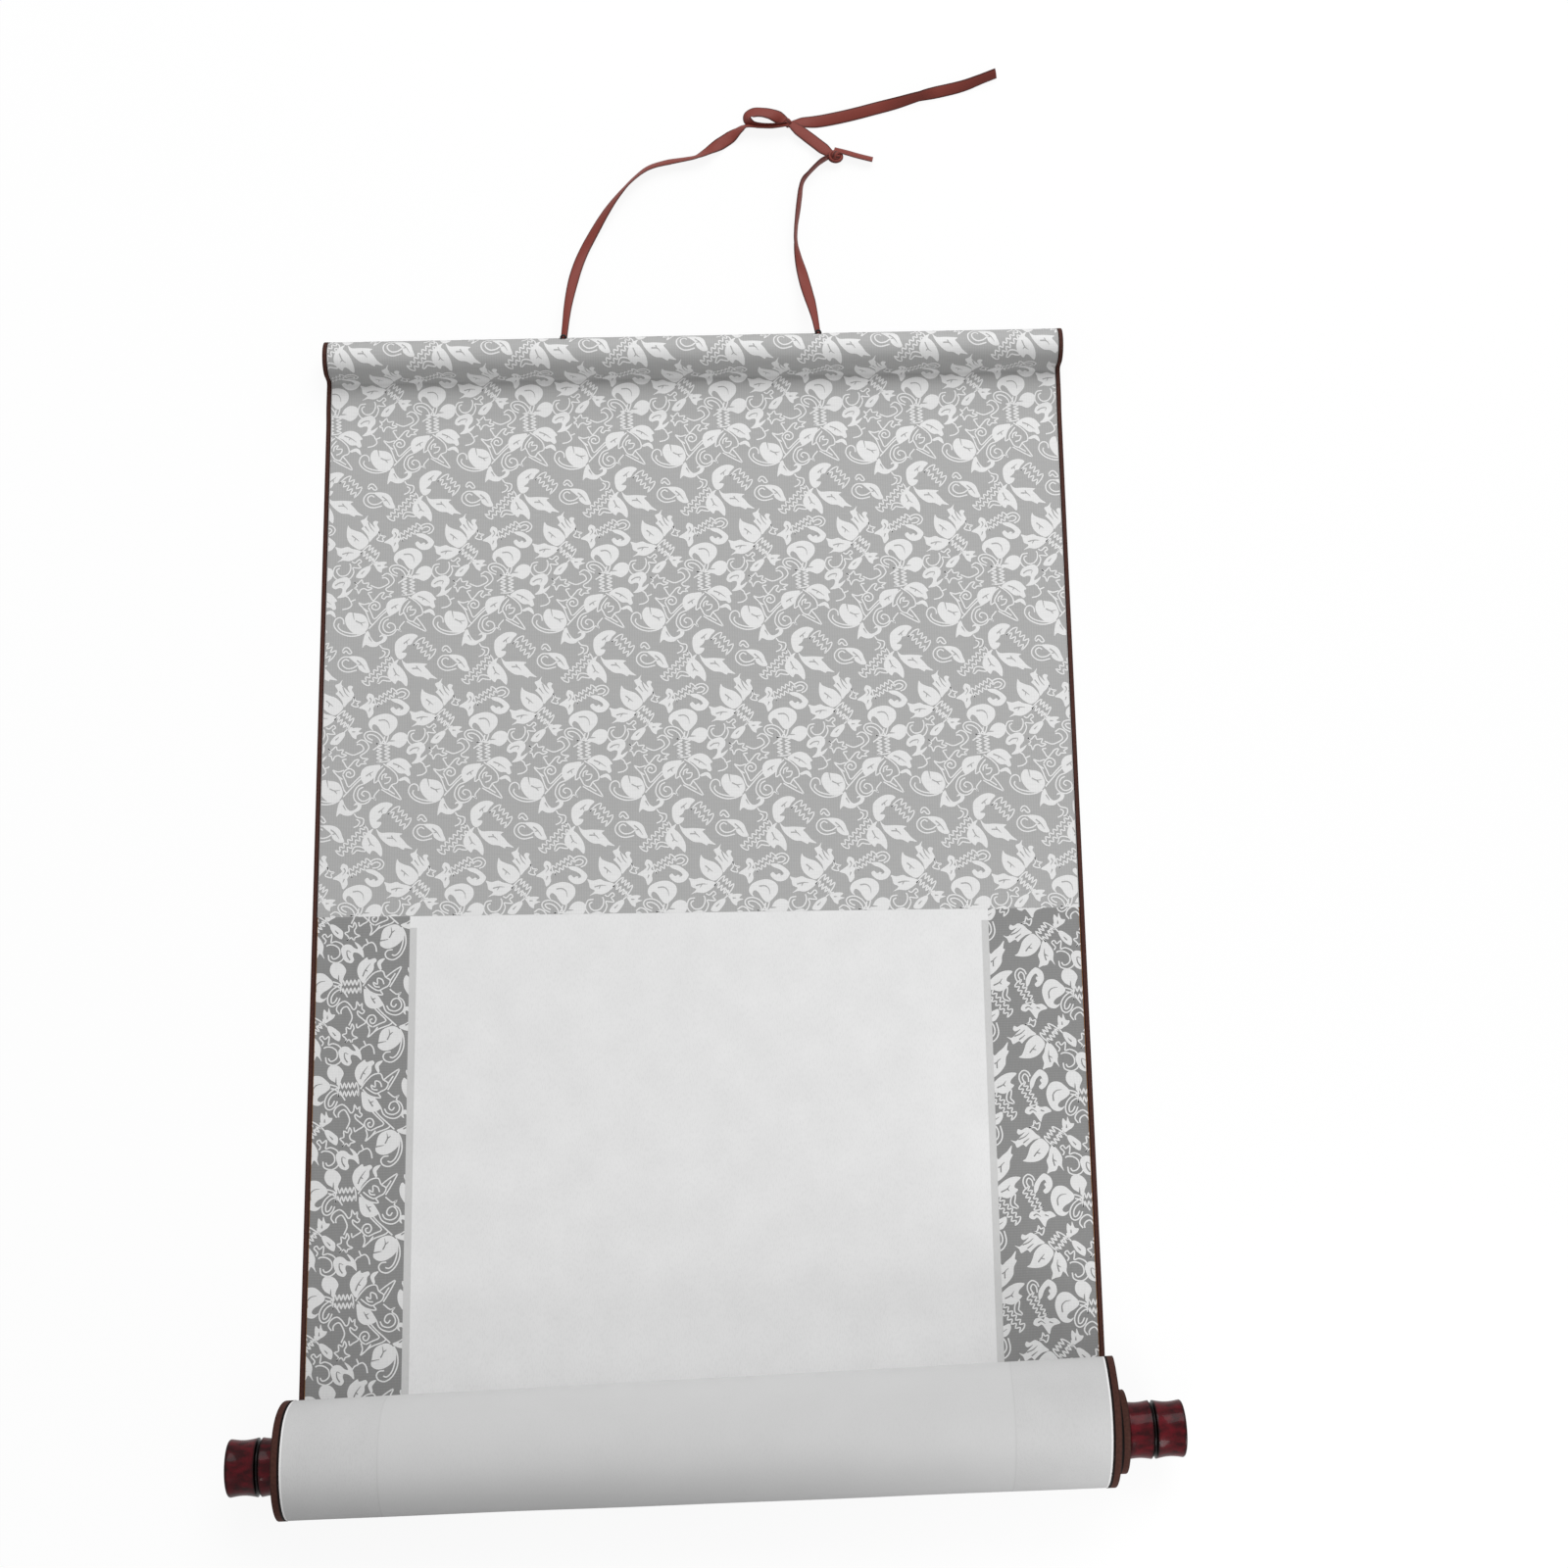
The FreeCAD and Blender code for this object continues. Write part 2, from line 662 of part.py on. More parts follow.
def add_knot(name, place):
    """A small knot with bevelled rims; the bands that leave it are cut to its surface."""
    home = Placement(Vector(*place, size("ribbon_bed")), Rotation())
    lump = doc.addObject("Part::Cylinder", name + "_lump")
    lump.setExpression("Radius", "Sizes.knot_diameter / 2")
    lump.setExpression("Height", "Sizes.knot_height")
    doc.recompute()
    knot = doc.addObject("Part::Chamfer", name)
    knot.Base = lump
    # The lump's edges 1 and 3 are its two rims
    knot.Edges = [(edge, size("knot_bevel"), size("knot_bevel")) for edge in (1, 3)]
    knot.Label = name
    knot.Placement = RIBBON_HOME.multiply(home)
    nodes.append(knot)
    return Part.makeCylinder(size("knot_diameter") / 2, size("knot_height"), home.Base)


def make_ribbon():
    wide, thin = size("ribbon_width"), size("ribbon_thickness")
    lumps = [add_knot("bow_knot", BOW_KNOT_PLACE), add_knot("end_knot", END_KNOT_PLACE)]
    for name, route, width in (
        ("ribbon_left", LEFT_ROUTE, wide),
        ("ribbon_right", RIGHT_ROUTE, wide),
        ("ribbon_tail", TAIL_ROUTE, wide),
        ("knot_link", LINK_ROUTE, wide),
        ("bow_loop", LOOP_ROUTE, LOOP_WIDTH),
        ("ribbon_short_tail", SHORT_TAIL_ROUTE, SHORT_TAIL_WIDTH),
    ):
        add_shape(name, band(name, route, width, thin).cut(lumps), RIBBON_HOME)


make_sheet_roll()
make_brocade()
make_picture()
make_edging()
make_top_rod()
make_roller()
make_knobs()
for side, place in staple_places().items():
    make_staple(side + "_staple", place)
make_ribbon()

doc.recompute()
for item in doc.Objects:
    if "Invalid" in item.State or "Error" in item.State:
        raise RuntimeError("%s failed: %s" % (item.Name, item.State))
os.makedirs("parts", exist_ok=True)
for node in nodes:
    shape = node.Shape
    if shape.isNull() or not shape.isValid() or len(shape.Solids) != 1:
        raise RuntimeError("%s isn't one valid solid" % node.Label)
    shape.exportStep("parts/%s.step" % node.Label)
    box = shape.optimalBoundingBox(False)
    print("%-22s %9.1f  x %7.1f %7.1f  y %7.1f %7.1f  z %6.2f %6.2f" % (
        node.Label, shape.Volume, box.XMin, box.XMax, box.YMin, box.YMax, box.ZMin, box.ZMax))
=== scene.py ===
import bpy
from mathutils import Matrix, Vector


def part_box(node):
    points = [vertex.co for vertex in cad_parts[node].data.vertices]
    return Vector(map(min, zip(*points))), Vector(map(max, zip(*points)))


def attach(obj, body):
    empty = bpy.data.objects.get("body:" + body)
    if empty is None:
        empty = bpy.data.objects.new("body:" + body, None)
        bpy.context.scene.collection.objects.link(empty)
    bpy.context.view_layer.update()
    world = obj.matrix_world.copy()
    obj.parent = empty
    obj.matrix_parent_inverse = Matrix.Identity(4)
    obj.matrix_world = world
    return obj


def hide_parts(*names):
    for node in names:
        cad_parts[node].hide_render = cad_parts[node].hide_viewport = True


bl_info = {
    "name": "Hanging Scroll",
    "version": (1, 0, 0),
    "blender": (4, 5, 0),
    "location": "View3D > Sidebar > Scroll",
    "description": "Builds a blank hanging scroll, part unrolled, its ribbon and a plain stage",
    "category": "Object",
}

import math

import bmesh
import bpy
import numpy as np
from mathutils import Matrix

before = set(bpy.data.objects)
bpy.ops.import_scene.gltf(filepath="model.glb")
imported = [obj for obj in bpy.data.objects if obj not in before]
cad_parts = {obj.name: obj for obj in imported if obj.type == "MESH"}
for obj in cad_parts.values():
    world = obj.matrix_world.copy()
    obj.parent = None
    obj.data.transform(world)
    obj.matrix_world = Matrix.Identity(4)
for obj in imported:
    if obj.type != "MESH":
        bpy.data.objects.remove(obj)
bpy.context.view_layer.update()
MM = 0.001
TINY = 1e-9
SAME_PLACE = 1e-8
BODY = "root"
HOME_X = 1.85 * MM


# Sizes and colours that can be changed in the panel

def length(name, description, millimetres):
    """A length property, stored in metres, with its default given in millimetres."""
    return bpy.props.FloatProperty(
        name=name, description=description, default=millimetres * MM,
        unit="LENGTH", subtype="DISTANCE", precision=5)


def degrees(name, description, value):
    """An angle property, stored in radians, with its default given in degrees."""
    return bpy.props.FloatProperty(
        name=name, description=description, default=math.radians(value), subtype="ANGLE")


def colour(name, description, red, green, blue):
    """A colour property, with its default as linear red, green and blue."""
    return bpy.props.FloatVectorProperty(
        name=name, description=description, default=(red, green, blue),
        subtype="COLOR", min=0.0, max=1.0, size=3)


class ScrollSheetSizes(bpy.types.PropertyGroup):
    """The flat sheet, its layers and the fold round the top rod."""
    width: length("Width", "Width of the whole sheet", 330.0)
    flat_length: length("Flat length", "From the middle of the roll's contact to the rod", 469.2)
    tape: length("Tape", "Thickness of the edging tape", 0.15)
    backing: length("Backing", "Thickness of the backing paper", 0.4)
    facing: length("Facing", "Thickness of the cloth and of the picture paper", 0.3)
    tape_front: length("Tape front", "Width of the edging on the face", 2.4)
    tape_back: length("Tape back", "Width of the edging on the back", 3.5)
    picture_width: length("Picture width", "Width of the picture sheet", 247.0)
    picture_top: length("Picture top", "From the roll's contact to the picture's top edge", 216.4)
    rod_radius: length("Rod radius", "Radius of the top rod", 7.0)
    rod_skew: degrees("Rod skew", "Turn of the top rod against the sheet", 0.69)
    fold_radius: length("Fold radius", "Radius of the fold at the foot of the rod", 2.6)
    flap_length: length("Flap length", "Length of the flap glued down behind the rod", 19.4)
    flap_gap: length("Flap gap", "Glue between the flap and the sheet over it", 0.05)
    flap_ramp: length("Flap ramp", "Length over which the sheet comes down from the flap", 10.0)


class ScrollRollSizes(bpy.types.PropertyGroup):
    """The rolled part of the sheet and its knobs."""
    radius_left: length("Left radius", "Radius of the loose outer turn at its left end", 23.3)
    radius_right: length("Right radius", "Radius of the loose outer turn at its right end", 25.5)
    skew: degrees("Skew", "Turn of the roll against the sheet", 1.6)
    core_radius: length("Core radius", "Radius of the tight turns round the rod", 16.6)
    gap_left: length("Left gap", "Space between the loose turn and the core, left", 2.1)
    gap_right: length("Right gap", "Space between the loose turn and the core, right", 1.2)
    core_angle: degrees("Core angle", "Direction in which the core lies off the middle", 57.0)
    core_turns: bpy.props.IntProperty(
        name="Core half turns", description="Half turns of the sheet in the core", default=5)
    rod_radius: length("Rod radius", "Radius of the lower rod", 11.0)
    outer_creep: length("Outer creep", "Sideways creep of the loose turn", -2.2)
    core_creep: length("Core creep", "Sideways creep of the core", 3.5)
    knob_radius: length("Knob radius", "Radius of a knob at its ends", 11.2)
    knob_bead: length("Knob bead", "Radius of a knob beside its ring groove", 11.4)
    knob_groove: length("Knob groove", "From a knob's inner end to its ring groove", 10.4)
    knob_length: length("Knob length", "Length of a knob", 22.9)


class ScrollRibbonSizes(bpy.types.PropertyGroup):
    """The hanging ribbon."""
    width: length("Width", "Width of the ribbon", 6.0)
    thickness: length("Thickness", "Thickness of the ribbon", 0.4)
    selvedge: bpy.props.FloatProperty(
        name="Selvedge", description="Share of the width taken by each dark woven edge",
        default=0.09, subtype="FACTOR", min=0.0, max=0.5)


class ScrollColours(bpy.types.PropertyGroup):
    """The colours of the scroll's materials."""
    paper: colour("Backing", "White backing paper", 0.63, 0.63, 0.63)
    picture: colour("Picture", "White picture paper", 0.84, 0.84, 0.84)
    margin: colour("Margin", "Grey paper beside the picture", 0.64, 0.64, 0.637)
    ground: colour("Ground", "Ground of the figured cloth", 0.45, 0.45, 0.447)
    # The turned ground and figure are darker than the upright ones: painted shade for the weaker sheen
    # of cloth turned a quarter
    ground_turned_painted_shade: colour("Turned ground", "Ground of the cloth turned a quarter", 0.27, 0.27, 0.268)
    figure: colour("Figure", "Leaf scrolls of the figured cloth", 0.83, 0.83, 0.828)
    figure_turned_painted_shade: colour("Turned figure", "Leaf scrolls of the turned cloth", 0.80, 0.80, 0.798)
    tape: colour("Tape", "Brown edging tape", 0.062, 0.024, 0.018)
    lacquer: colour("Lacquer", "Dark red lacquer of the knobs", 0.030, 0.0025, 0.004)
    lacquer_worn: colour("Thin lacquer", "Lacquer where it is thinner", 0.11, 0.004, 0.009)
    wood: colour("Wood", "Bare wood of the rods", 0.52, 0.37, 0.22)
    ribbon: colour("Ribbon", "Satin face of the ribbon", 0.215, 0.045, 0.034)
    ribbon_edge: colour("Ribbon edge", "Woven edges of the ribbon", 0.075, 0.020, 0.016)


class ScrollStageSizes(bpy.types.PropertyGroup):
    """The camera and the light."""
    lens: bpy.props.FloatProperty(
        name="Lens", description="Focal length of the camera", default=53.26,
        unit="CAMERA", subtype="DISTANCE_CAMERA")
    sky: bpy.props.FloatProperty(
        name="Sky", description="Light from all round", default=0.47, min=0.0)
    key_energy: bpy.props.FloatProperty(
        name="Key", description="Power of the large soft light", default=21.5,
        unit="POWER", min=0.0)


def sheet_sizes():
    """The sheet's sizes as they are set in the scene."""
    return bpy.context.scene.scroll_sheet


def roll_sizes():
    """The roll's sizes as they are set in the scene."""
    return bpy.context.scene.scroll_roll


def colours():
    """The colours as they are set in the scene."""
    return bpy.context.scene.scroll_colours


# The path of the sheet
# X is measured from the middle of the sheet. The path is worked out across the rods, for all
# X at once, from the flap over the top rod and along the flat sheet into the roll.

FLAP, ROD_ARC, WALL, FOLD, OVER_FLAP, RAMP_TOP, RAMP_FOOT, PANEL, BESIDE_PICTURE = range(9)
LOOSE_TURN = 9
SECOND_TURN = 10
ARC_STEP = math.radians(4.0)
SLACK_GROWS = 40.0 * MM
LOOSE_CREEP_SHARE = 0.4


def face_height():
    """Height of the cloth's face above the sheet's back."""
    sheet = sheet_sizes()
    return sheet.tape + sheet.backing + sheet.facing


def stack_height():
    """Height of the tape's face above the sheet's back."""
    return face_height() + sheet_sizes().tape


def between(left, right, x):
    """A size that runs evenly from its left value to its right value across the sheet."""
    width = sheet_sizes().width
    return left + (right - left) * (x + width / 2) / width


def contact_line(x):
    """Where the flat sheet meets the roll, a line turned by the roll's skew."""
    return x * math.tan(roll_sizes().skew)


def rod_line(x):
    """Where the top rod's axis runs, a line turned by the rod's skew."""
    return sheet_sizes().flat_length + x * math.tan(sheet_sizes().rod_skew)


def outer_radius(x):
    """Radius of the loose outer turn, which is larger at one end."""
    return between(roll_sizes().radius_left, roll_sizes().radius_right, x)


def core_step():
    """How much each half turn in the core is smaller than the last."""
    roll = roll_sizes()
    return (roll.core_radius - stack_height() - roll.rod_radius) / (roll.core_turns - 1)


def core_centre(x, step=0.0):
    """Centre of the core's arcs: the loose turn's centre moved down and to the near side."""
    roll = roll_sizes()
    reach = outer_radius(x) - between(roll.gap_left, roll.gap_right, x) - roll.core_radius - step
    return (contact_line(x) - reach * math.cos(roll.core_angle),
            outer_radius(x) - reach * math.sin(roll.core_angle))


def home_shift():
    """From the middle of the roll's contact line to the origin below the scroll's middle.

    The knobs reach further out on the right than on the left of the sheet, by twice HOME_X.
    """
    sheet = sheet_sizes()
    far = rod_line(sheet.width / 2) + sheet.rod_radius + stack_height()
    near = float(contact_line(-sheet.width / 2)) - roll_sizes().radius_left
    return HOME_X, (far + near) / 2


def sheet_path(x):
    """The stretches of the sheet's back, each a line or an arc.

    A line is (start y, start z, end y, end z). An arc is (centre y, centre z, radius, first
    angle, last angle). Any of them may hold one value for each X.
    """
    sheet, roll = sheet_sizes(), roll_sizes()
    rod, stack, fold, ramp = sheet.rod_radius, stack_height(), sheet.fold_radius, sheet.flap_ramp
    rod_y, rod_z = rod_line(x), stack + rod
    flap_end = rod_y - sheet.flap_length
    wall, lift = rod_y - rod, stack + sheet.flap_gap
    bend = (ramp ** 2 + lift ** 2) / (4 * lift)
    lean = math.asin(ramp / 2 / bend)
    meet, outer, join = contact_line(x), outer_radius(x), roll.core_angle
    gap = between(roll.gap_left, roll.gap_right, x)
    quarter = math.pi / 2
    path = [
        (flap_end, stack, rod_y, stack),
        (rod_y, rod_z, rod, -quarter, math.pi),
        (wall, rod_z, wall, lift + fold),
        (wall - fold, lift + fold, fold, 0.0, -quarter),
        (wall - fold, lift, flap_end, lift),
        (flap_end, lift - bend, bend, quarter, quarter + lean),
        (flap_end - ramp, bend, bend, lean - quarter, -quarter),
        (flap_end - ramp, 0.0, sheet.picture_top, 0.0),
        (sheet.picture_top, 0.0, meet, 0.0),
        (meet, outer, outer, -quarter, join - 2 * math.pi),
        (meet + gap / 2 * math.cos(join), outer + gap / 2 * math.sin(join),
         outer - gap / 2, join, join - math.pi),
    ]
    for turn in range(roll.core_turns):
        radius = roll.core_radius - turn * core_step()
        start = join - math.pi if turn % 2 == 0 else join
        y, z = core_centre(x, core_step() if turn % 2 else 0.0)
        path.append((y, z, radius, start, start - math.pi))
    return path


def place_on(stretch, share, offset):
    """Points of a stretch at shares of its length, moved off the back by offset.

    A line's point is start + share * (end - start) + offset * the normal on its right. An
    arc's is centre + (radius + offset) * (cos, sin) where it turns anticlockwise, and
    radius - offset where it turns clockwise.
    """
    share = share[:, None]
    if len(stretch) == 4:
        y0, z0, y1, z1 = stretch
        run_y, run_z = y1 - y0, z1 - z0
        run = np.hypot(run_y, run_z)
        return (y0 + run_y * share + run_z / run * offset,
                z0 + run_z * share - run_y / run * offset)
    y, z, radius, first, last = stretch
    angle = first + (last - first) * share
    reach = radius + (offset if last > first else -offset)
    return y + reach * np.cos(angle), z + reach * np.sin(angle)


def stretch_length(stretch):
    """Length of a stretch at the middle of the sheet."""
    if len(stretch) == 4:
        return math.hypot(stretch[2] - stretch[0], stretch[3] - stretch[1])
    return stretch[2] * abs(stretch[4] - stretch[3])


def panel_length():
    """Length of the sheet from the flap's end to the picture's top edge."""
    return sum(stretch_length(stretch) for stretch in sheet_path(0.0)[:BESIDE_PICTURE])


def creep_at(number, share):
    """Sideways creep: none on the flat sheet, then that of the loose turn and of the core.

    The loose turn has all of its creep after LOOSE_CREEP_SHARE of its length.
    """
    roll = roll_sizes()
    if number < LOOSE_TURN:
        return share * 0.0
    if number == LOOSE_TURN:
        return roll.outer_creep * np.minimum(1.0, share / LOOSE_CREEP_SHARE)
    if number == SECOND_TURN:
        eased = share * share * (3 - 2 * share)
        return roll.outer_creep + (roll.core_creep - roll.outer_creep) * eased
    return roll.core_creep + share * 0.0


def paper_slack(x, distance, number):
    """Slight unevenness of the rolled paper: the sum of three long waves along and across.

    It grows over the first SLACK_GROWS of each stretch.
    """
    if number < LOOSE_TURN:
        return 0.0 * x * distance[:, None]
    along, across = distance[:, None], x[None, :]
    ease = np.minimum(1.0, along / SLACK_GROWS)
    return ease * MM * (
        0.10 * np.sin(along * 61.0 + across * 13.0)
        + 0.07 * np.sin(along * 97.0 - across * 31.0 + 1.3)
        + 0.05 * np.sin(across * 74.0 + 0.7))


def sheet_rows(x, begin, end, offsets):
    """Points of the sheet for stretches begin to end, at the X values and one offset a stretch.

    Returns an array (rows, columns, 3) and each row's distance along the sheet from the
    picture's top edge, which is negative towards the flap.
    """
    home_x, home_y = home_shift()
    middle = sheet_path(0.0)
    at = -panel_length()
    rows, marks = [], []
    for number, stretch in enumerate(sheet_path(x)):
        run = stretch_length(middle[number])
        if begin <= number < end:
            turn = 0.0 if len(stretch) == 4 else abs(stretch[4] - stretch[3])
            steps = max(1, math.ceil(turn / ARC_STEP))
            share = np.linspace(0.0, 1.0, steps + 1)[1 if rows else 0:]
            offset = offsets(number)
            slack = paper_slack(x, share * run, number)
            y, z = place_on(stretch, share, offset + slack)
            wide = x[None, :] + creep_at(number, share)[:, None]
            y = np.broadcast_to(y, wide.shape)
            z = np.broadcast_to(z, wide.shape)
            rows.append(np.stack([wide - home_x, y - home_y, z], axis=-1))
            marks.append(at + run * share)
        at += run
    return np.concatenate(rows), np.concatenate(marks)


# Mesh making

def new_piece(name, points, faces, uv=None, smooth=True):
    """A mesh object at the origin from an array of points and a list or array of faces."""
    mesh = bpy.data.meshes.new(name)
    if isinstance(faces, np.ndarray):
        faces = faces.tolist()
    mesh.from_pydata(np.reshape(points, (-1, 3)).tolist(), [], faces)
    if uv is not None:
        layer = mesh.uv_layers.new(name="Cloth")
        corner = np.empty(len(mesh.loops), dtype=np.int32)
        mesh.loops.foreach_get("vertex_index", corner)
        layer.data.foreach_set("uv", np.reshape(uv, (-1, 2))[corner].ravel())
    mesh.polygons.foreach_set("use_smooth", np.full(len(mesh.polygons), smooth))
    mesh.validate()
    mesh.update()
    piece = bpy.data.objects.new(name, mesh)
    bpy.context.scene.collection.objects.link(piece)
    return piece


def grid_faces(rows, columns, closed_rows=False, closed_columns=False, first=0):
    """The quads of a grid of points numbered row by row, wrapped where it closes on itself."""
    row = np.arange(rows if closed_rows else rows - 1)
    column = np.arange(columns if closed_columns else columns - 1)
    a, b = np.meshgrid(row, column, indexing="ij")
    down, right = (a + 1) % rows, (b + 1) % columns
    quads = np.stack([a * columns + b, a * columns + right,
                      down * columns + right, down * columns + b], axis=-1)
    return quads.reshape(-1, 4) + first


def band_faces(rows, columns):
    """The faces of a band whose section goes out and back, with both of its ends closed."""
    near = np.arange(columns // 2 - 1)
    cap = np.stack([near, near + 1, columns - 2 - near, columns - 1 - near], axis=-1)
    return np.concatenate([grid_faces(rows, columns, closed_columns=True), cap[:, ::-1],
                           cap + (rows - 1) * columns])


def map_grid(across, along):
    """A map over a grid of points, X from its columns' values and Y from its rows'."""
    return np.stack(np.broadcast_arrays(across[None, :], along[:, None]), axis=-1)


def face_outwards(piece):
    """Joins the points of a closed mesh that coincide and turns its faces outwards."""
    work = bmesh.new()
    work.from_mesh(piece.data)
    bmesh.ops.remove_doubles(work, verts=work.verts, dist=SAME_PLACE)
    bmesh.ops.recalc_face_normals(work, faces=work.faces)
    work.to_mesh(piece.data)
    work.free()


def sharpen(piece, angle=40.0):
    """Marks edges sharper than an angle, so that smooth shading stops there."""
    piece.data.set_sharp_from_angle(angle=math.radians(angle))


def slab(name, x, begin, end, low, high):
    """A closed sheet of some thickness: a section of two sides carried along the sheet's path.

    The section runs across the sheet at its low offset and back at its high one, and it is
    closed at both ends of the path. Its map holds X and the distance along the sheet.
    """
    under, marks = sheet_rows(x, begin, end, low)
    over = sheet_rows(x, begin, end, high)[0]
    points = np.concatenate([under, over[:, ::-1]], axis=1)
    rows, columns = points.shape[:2]
    across = np.concatenate([x, x[::-1]])
    piece = new_piece(name, points, band_faces(rows, columns), map_grid(across, marks))
    face_outwards(piece)
    sharpen(piece)
    return piece


def finish_piece(piece, material, slot, *nodes):
    """Gives a piece its materials and its body, and hides the CAD nodes that it stands for."""
    for item in material if isinstance(material, (list, tuple)) else [material]:
        piece.data.materials.append(item)
    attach(piece, BODY)
    if nodes:
        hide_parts(*nodes)


def coat_node(node, material):
    """Gives a CAD node that keeps its shape its material."""
    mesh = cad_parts[node].data
    mesh.materials.clear()
    mesh.materials.append(material)


# Materials

class Recipe:
    """One material and the few calls that its nodes are made with."""

    def __init__(self, name, roughness):
        self.material = bpy.data.materials.new(name)
        self.material.use_nodes = True
        self.tree = self.material.node_tree
        self.shader = self.tree.nodes["Principled BSDF"]
        self.shader.inputs["Roughness"].default_value = roughness

    def node(self, kind, **values):
        """A new node with its settings."""
        made = self.tree.nodes.new(kind)
        for key, value in values.items():
            setattr(made, key, value)
        return made

    def link(self, source, target):
        """Joins an output socket to an input socket."""
        self.tree.links.new(source, target)

    def coordinates(self, kind="Object", scale=(1.0, 1.0, 1.0)):
        """Object coordinates or the piece's own map, stretched by a Mapping node."""
        source = self.node("ShaderNodeTexCoord")
        mapping = self.node("ShaderNodeMapping")
        mapping.inputs["Scale"].default_value = scale
        self.link(source.outputs[kind], mapping.inputs["Vector"])
        return mapping.outputs["Vector"]

    def map_places(self):
        """The X and the Y of the piece's own map."""
        split = self.node("ShaderNodeSeparateXYZ")
        self.link(self.coordinates("UV"), split.inputs[0])
        return split.outputs["X"], split.outputs["Y"]

    def noise(self, vector, scale, detail):
        """Noise with so many waves a metre and so many finer layers."""
        made = self.node("ShaderNodeTexNoise")
        made.inputs["Scale"].default_value = scale
        made.inputs["Detail"].default_value = detail
        self.link(vector, made.inputs["Vector"])
        return made.outputs["Fac"]

    def ramp(self, value, stops):
        """A colour ramp through (place, colour) stops."""
        made = self.node("ShaderNodeValToRGB")
        elements = made.color_ramp.elements
        while len(elements) < len(stops):
            elements.new(0.5)
        for element, (place, tint) in zip(elements, stops):
            element.position = place
            element.color = (*tint, 1.0)
        self.link(value, made.inputs["Fac"])
        return made.outputs["Color"]

    def math(self, operation, first, second=0.0):
        """One step of arithmetic on sockets or plain numbers."""
        made = self.node("ShaderNodeMath", operation=operation)
        for index, value in enumerate((first, second)):
            if isinstance(value, (int, float)):
                made.inputs[index].default_value = value
            else:
                self.link(value, made.inputs[index])
        return made.outputs[0]

    def mix(self, share, first, second, blend="MIX"):
        """A mix of two colours, each a socket or a plain colour."""
        made = self.node("ShaderNodeMix", data_type="RGBA", blend_type=blend)
        for index, value in ((0, share), (6, first), (7, second)):
            if isinstance(value, (int, float)):
                made.inputs[index].default_value = value
            elif isinstance(value, tuple):
                made.inputs[index].default_value = (*value, 1.0)
            else:
                self.link(value, made.inputs[index])
        return made.outputs[2]

    def base(self, socket):
        """Gives the surface its colour from a socket."""
        self.link(socket, self.shader.inputs["Base Color"])

    def bump(self, height, strength, distance):
        """Raises the surface by a height socket, over a distance in metres."""
        made = self.node("ShaderNodeBump")
        made.inputs["Strength"].default_value = strength
        made.inputs["Distance"].default_value = distance
        self.link(height, made.inputs["Height"])
        self.link(made.outputs["Normal"], self.shader.inputs["Normal"])


def shade(colour_value, factor):
    """A colour made lighter or darker, kept at or below white."""
    return tuple(min(1.0, channel * factor) for channel in colour_value)


def paper_material(name, tint, seams_and_highlight=False):
    """Matt fibrous paper with faint clouds and fine fibres."""
    recipe = Recipe(name, 0.86)
    recipe.shader.inputs["Specular IOR Level"].default_value = 0.25
    place = recipe.coordinates()
    clouds = recipe.noise(place, 55.0, 3.0)
    tone = recipe.ramp(clouds, [(0.3, shade(tint, 0.972)), (0.7, shade(tint, 1.018))])
    fibres = recipe.noise(recipe.coordinates(scale=(1.0, 0.22, 1.0)), 2600.0, 3.0)
    flecks = recipe.ramp(fibres, [(0.36, (0.955, 0.955, 0.955)), (0.52, (1.0, 1.0, 1.0))])
    tone = recipe.mix(1.0, tone, flecks, "MULTIPLY")
    # Seams that show through the backing, and a painted highlight beside the tape
    if seams_and_highlight:
        tone = mark_seams_and_highlight(recipe, tone, tint)
    recipe.base(tone)
    grain = recipe.noise(place, 1500.0, 4.0)
    recipe.bump(grain, 0.25, 0.00006)
    return recipe.material


def mark_seams_and_highlight(recipe, tone, tint):
    """What shows through the backing: a seam beside the picture. Beside the tape a pale rim is added,
    which is a painted highlight.
    """
    sheet = sheet_sizes()
    half, seam_half, highlight_width = sheet.picture_width / 2, 0.4 * MM, 0.7 * MM
    side = recipe.math("ABSOLUTE", recipe.map_places()[0])
    off = recipe.math("ABSOLUTE", recipe.math("SUBTRACT", side, half))
    near = recipe.math("LESS_THAN", off, seam_half)
    tone = recipe.mix(near, tone, shade(tint, 0.93))
    inside = recipe.math("LESS_THAN", side, half)
    tone = recipe.mix(recipe.math("MULTIPLY", inside, 0.5), tone, shade(tint, 1.035))
    # Painted highlight: a thin pale band on the backing along the tape's inner edge
    rim = recipe.math("GREATER_THAN", side, sheet.width / 2 - sheet.tape_back - highlight_width)
    return recipe.mix(rim, tone, shade(tint, 1.42))


def weave_height(recipe, turned):
    """Fine cross ribs of the cloth: two sets of waves, one for each way of the threads."""
    turn = (1.0, 0.55, 1.0) if turned else (0.55, 1.0, 1.0)
    waves = []
    for direction in ("X", "Y"):
        wave = recipe.node("ShaderNodeTexWave", wave_type="BANDS", bands_direction=direction)
        wave.inputs["Scale"].default_value = 520.0
        wave.inputs["Distortion"].default_value = 0.6
        wave.inputs["Detail"].default_value = 1.0
        recipe.link(recipe.coordinates("UV", turn), wave.inputs["Vector"])
        waves.append(wave.outputs["Fac"])
    return recipe.math("MULTIPLY", waves[0], waves[1])


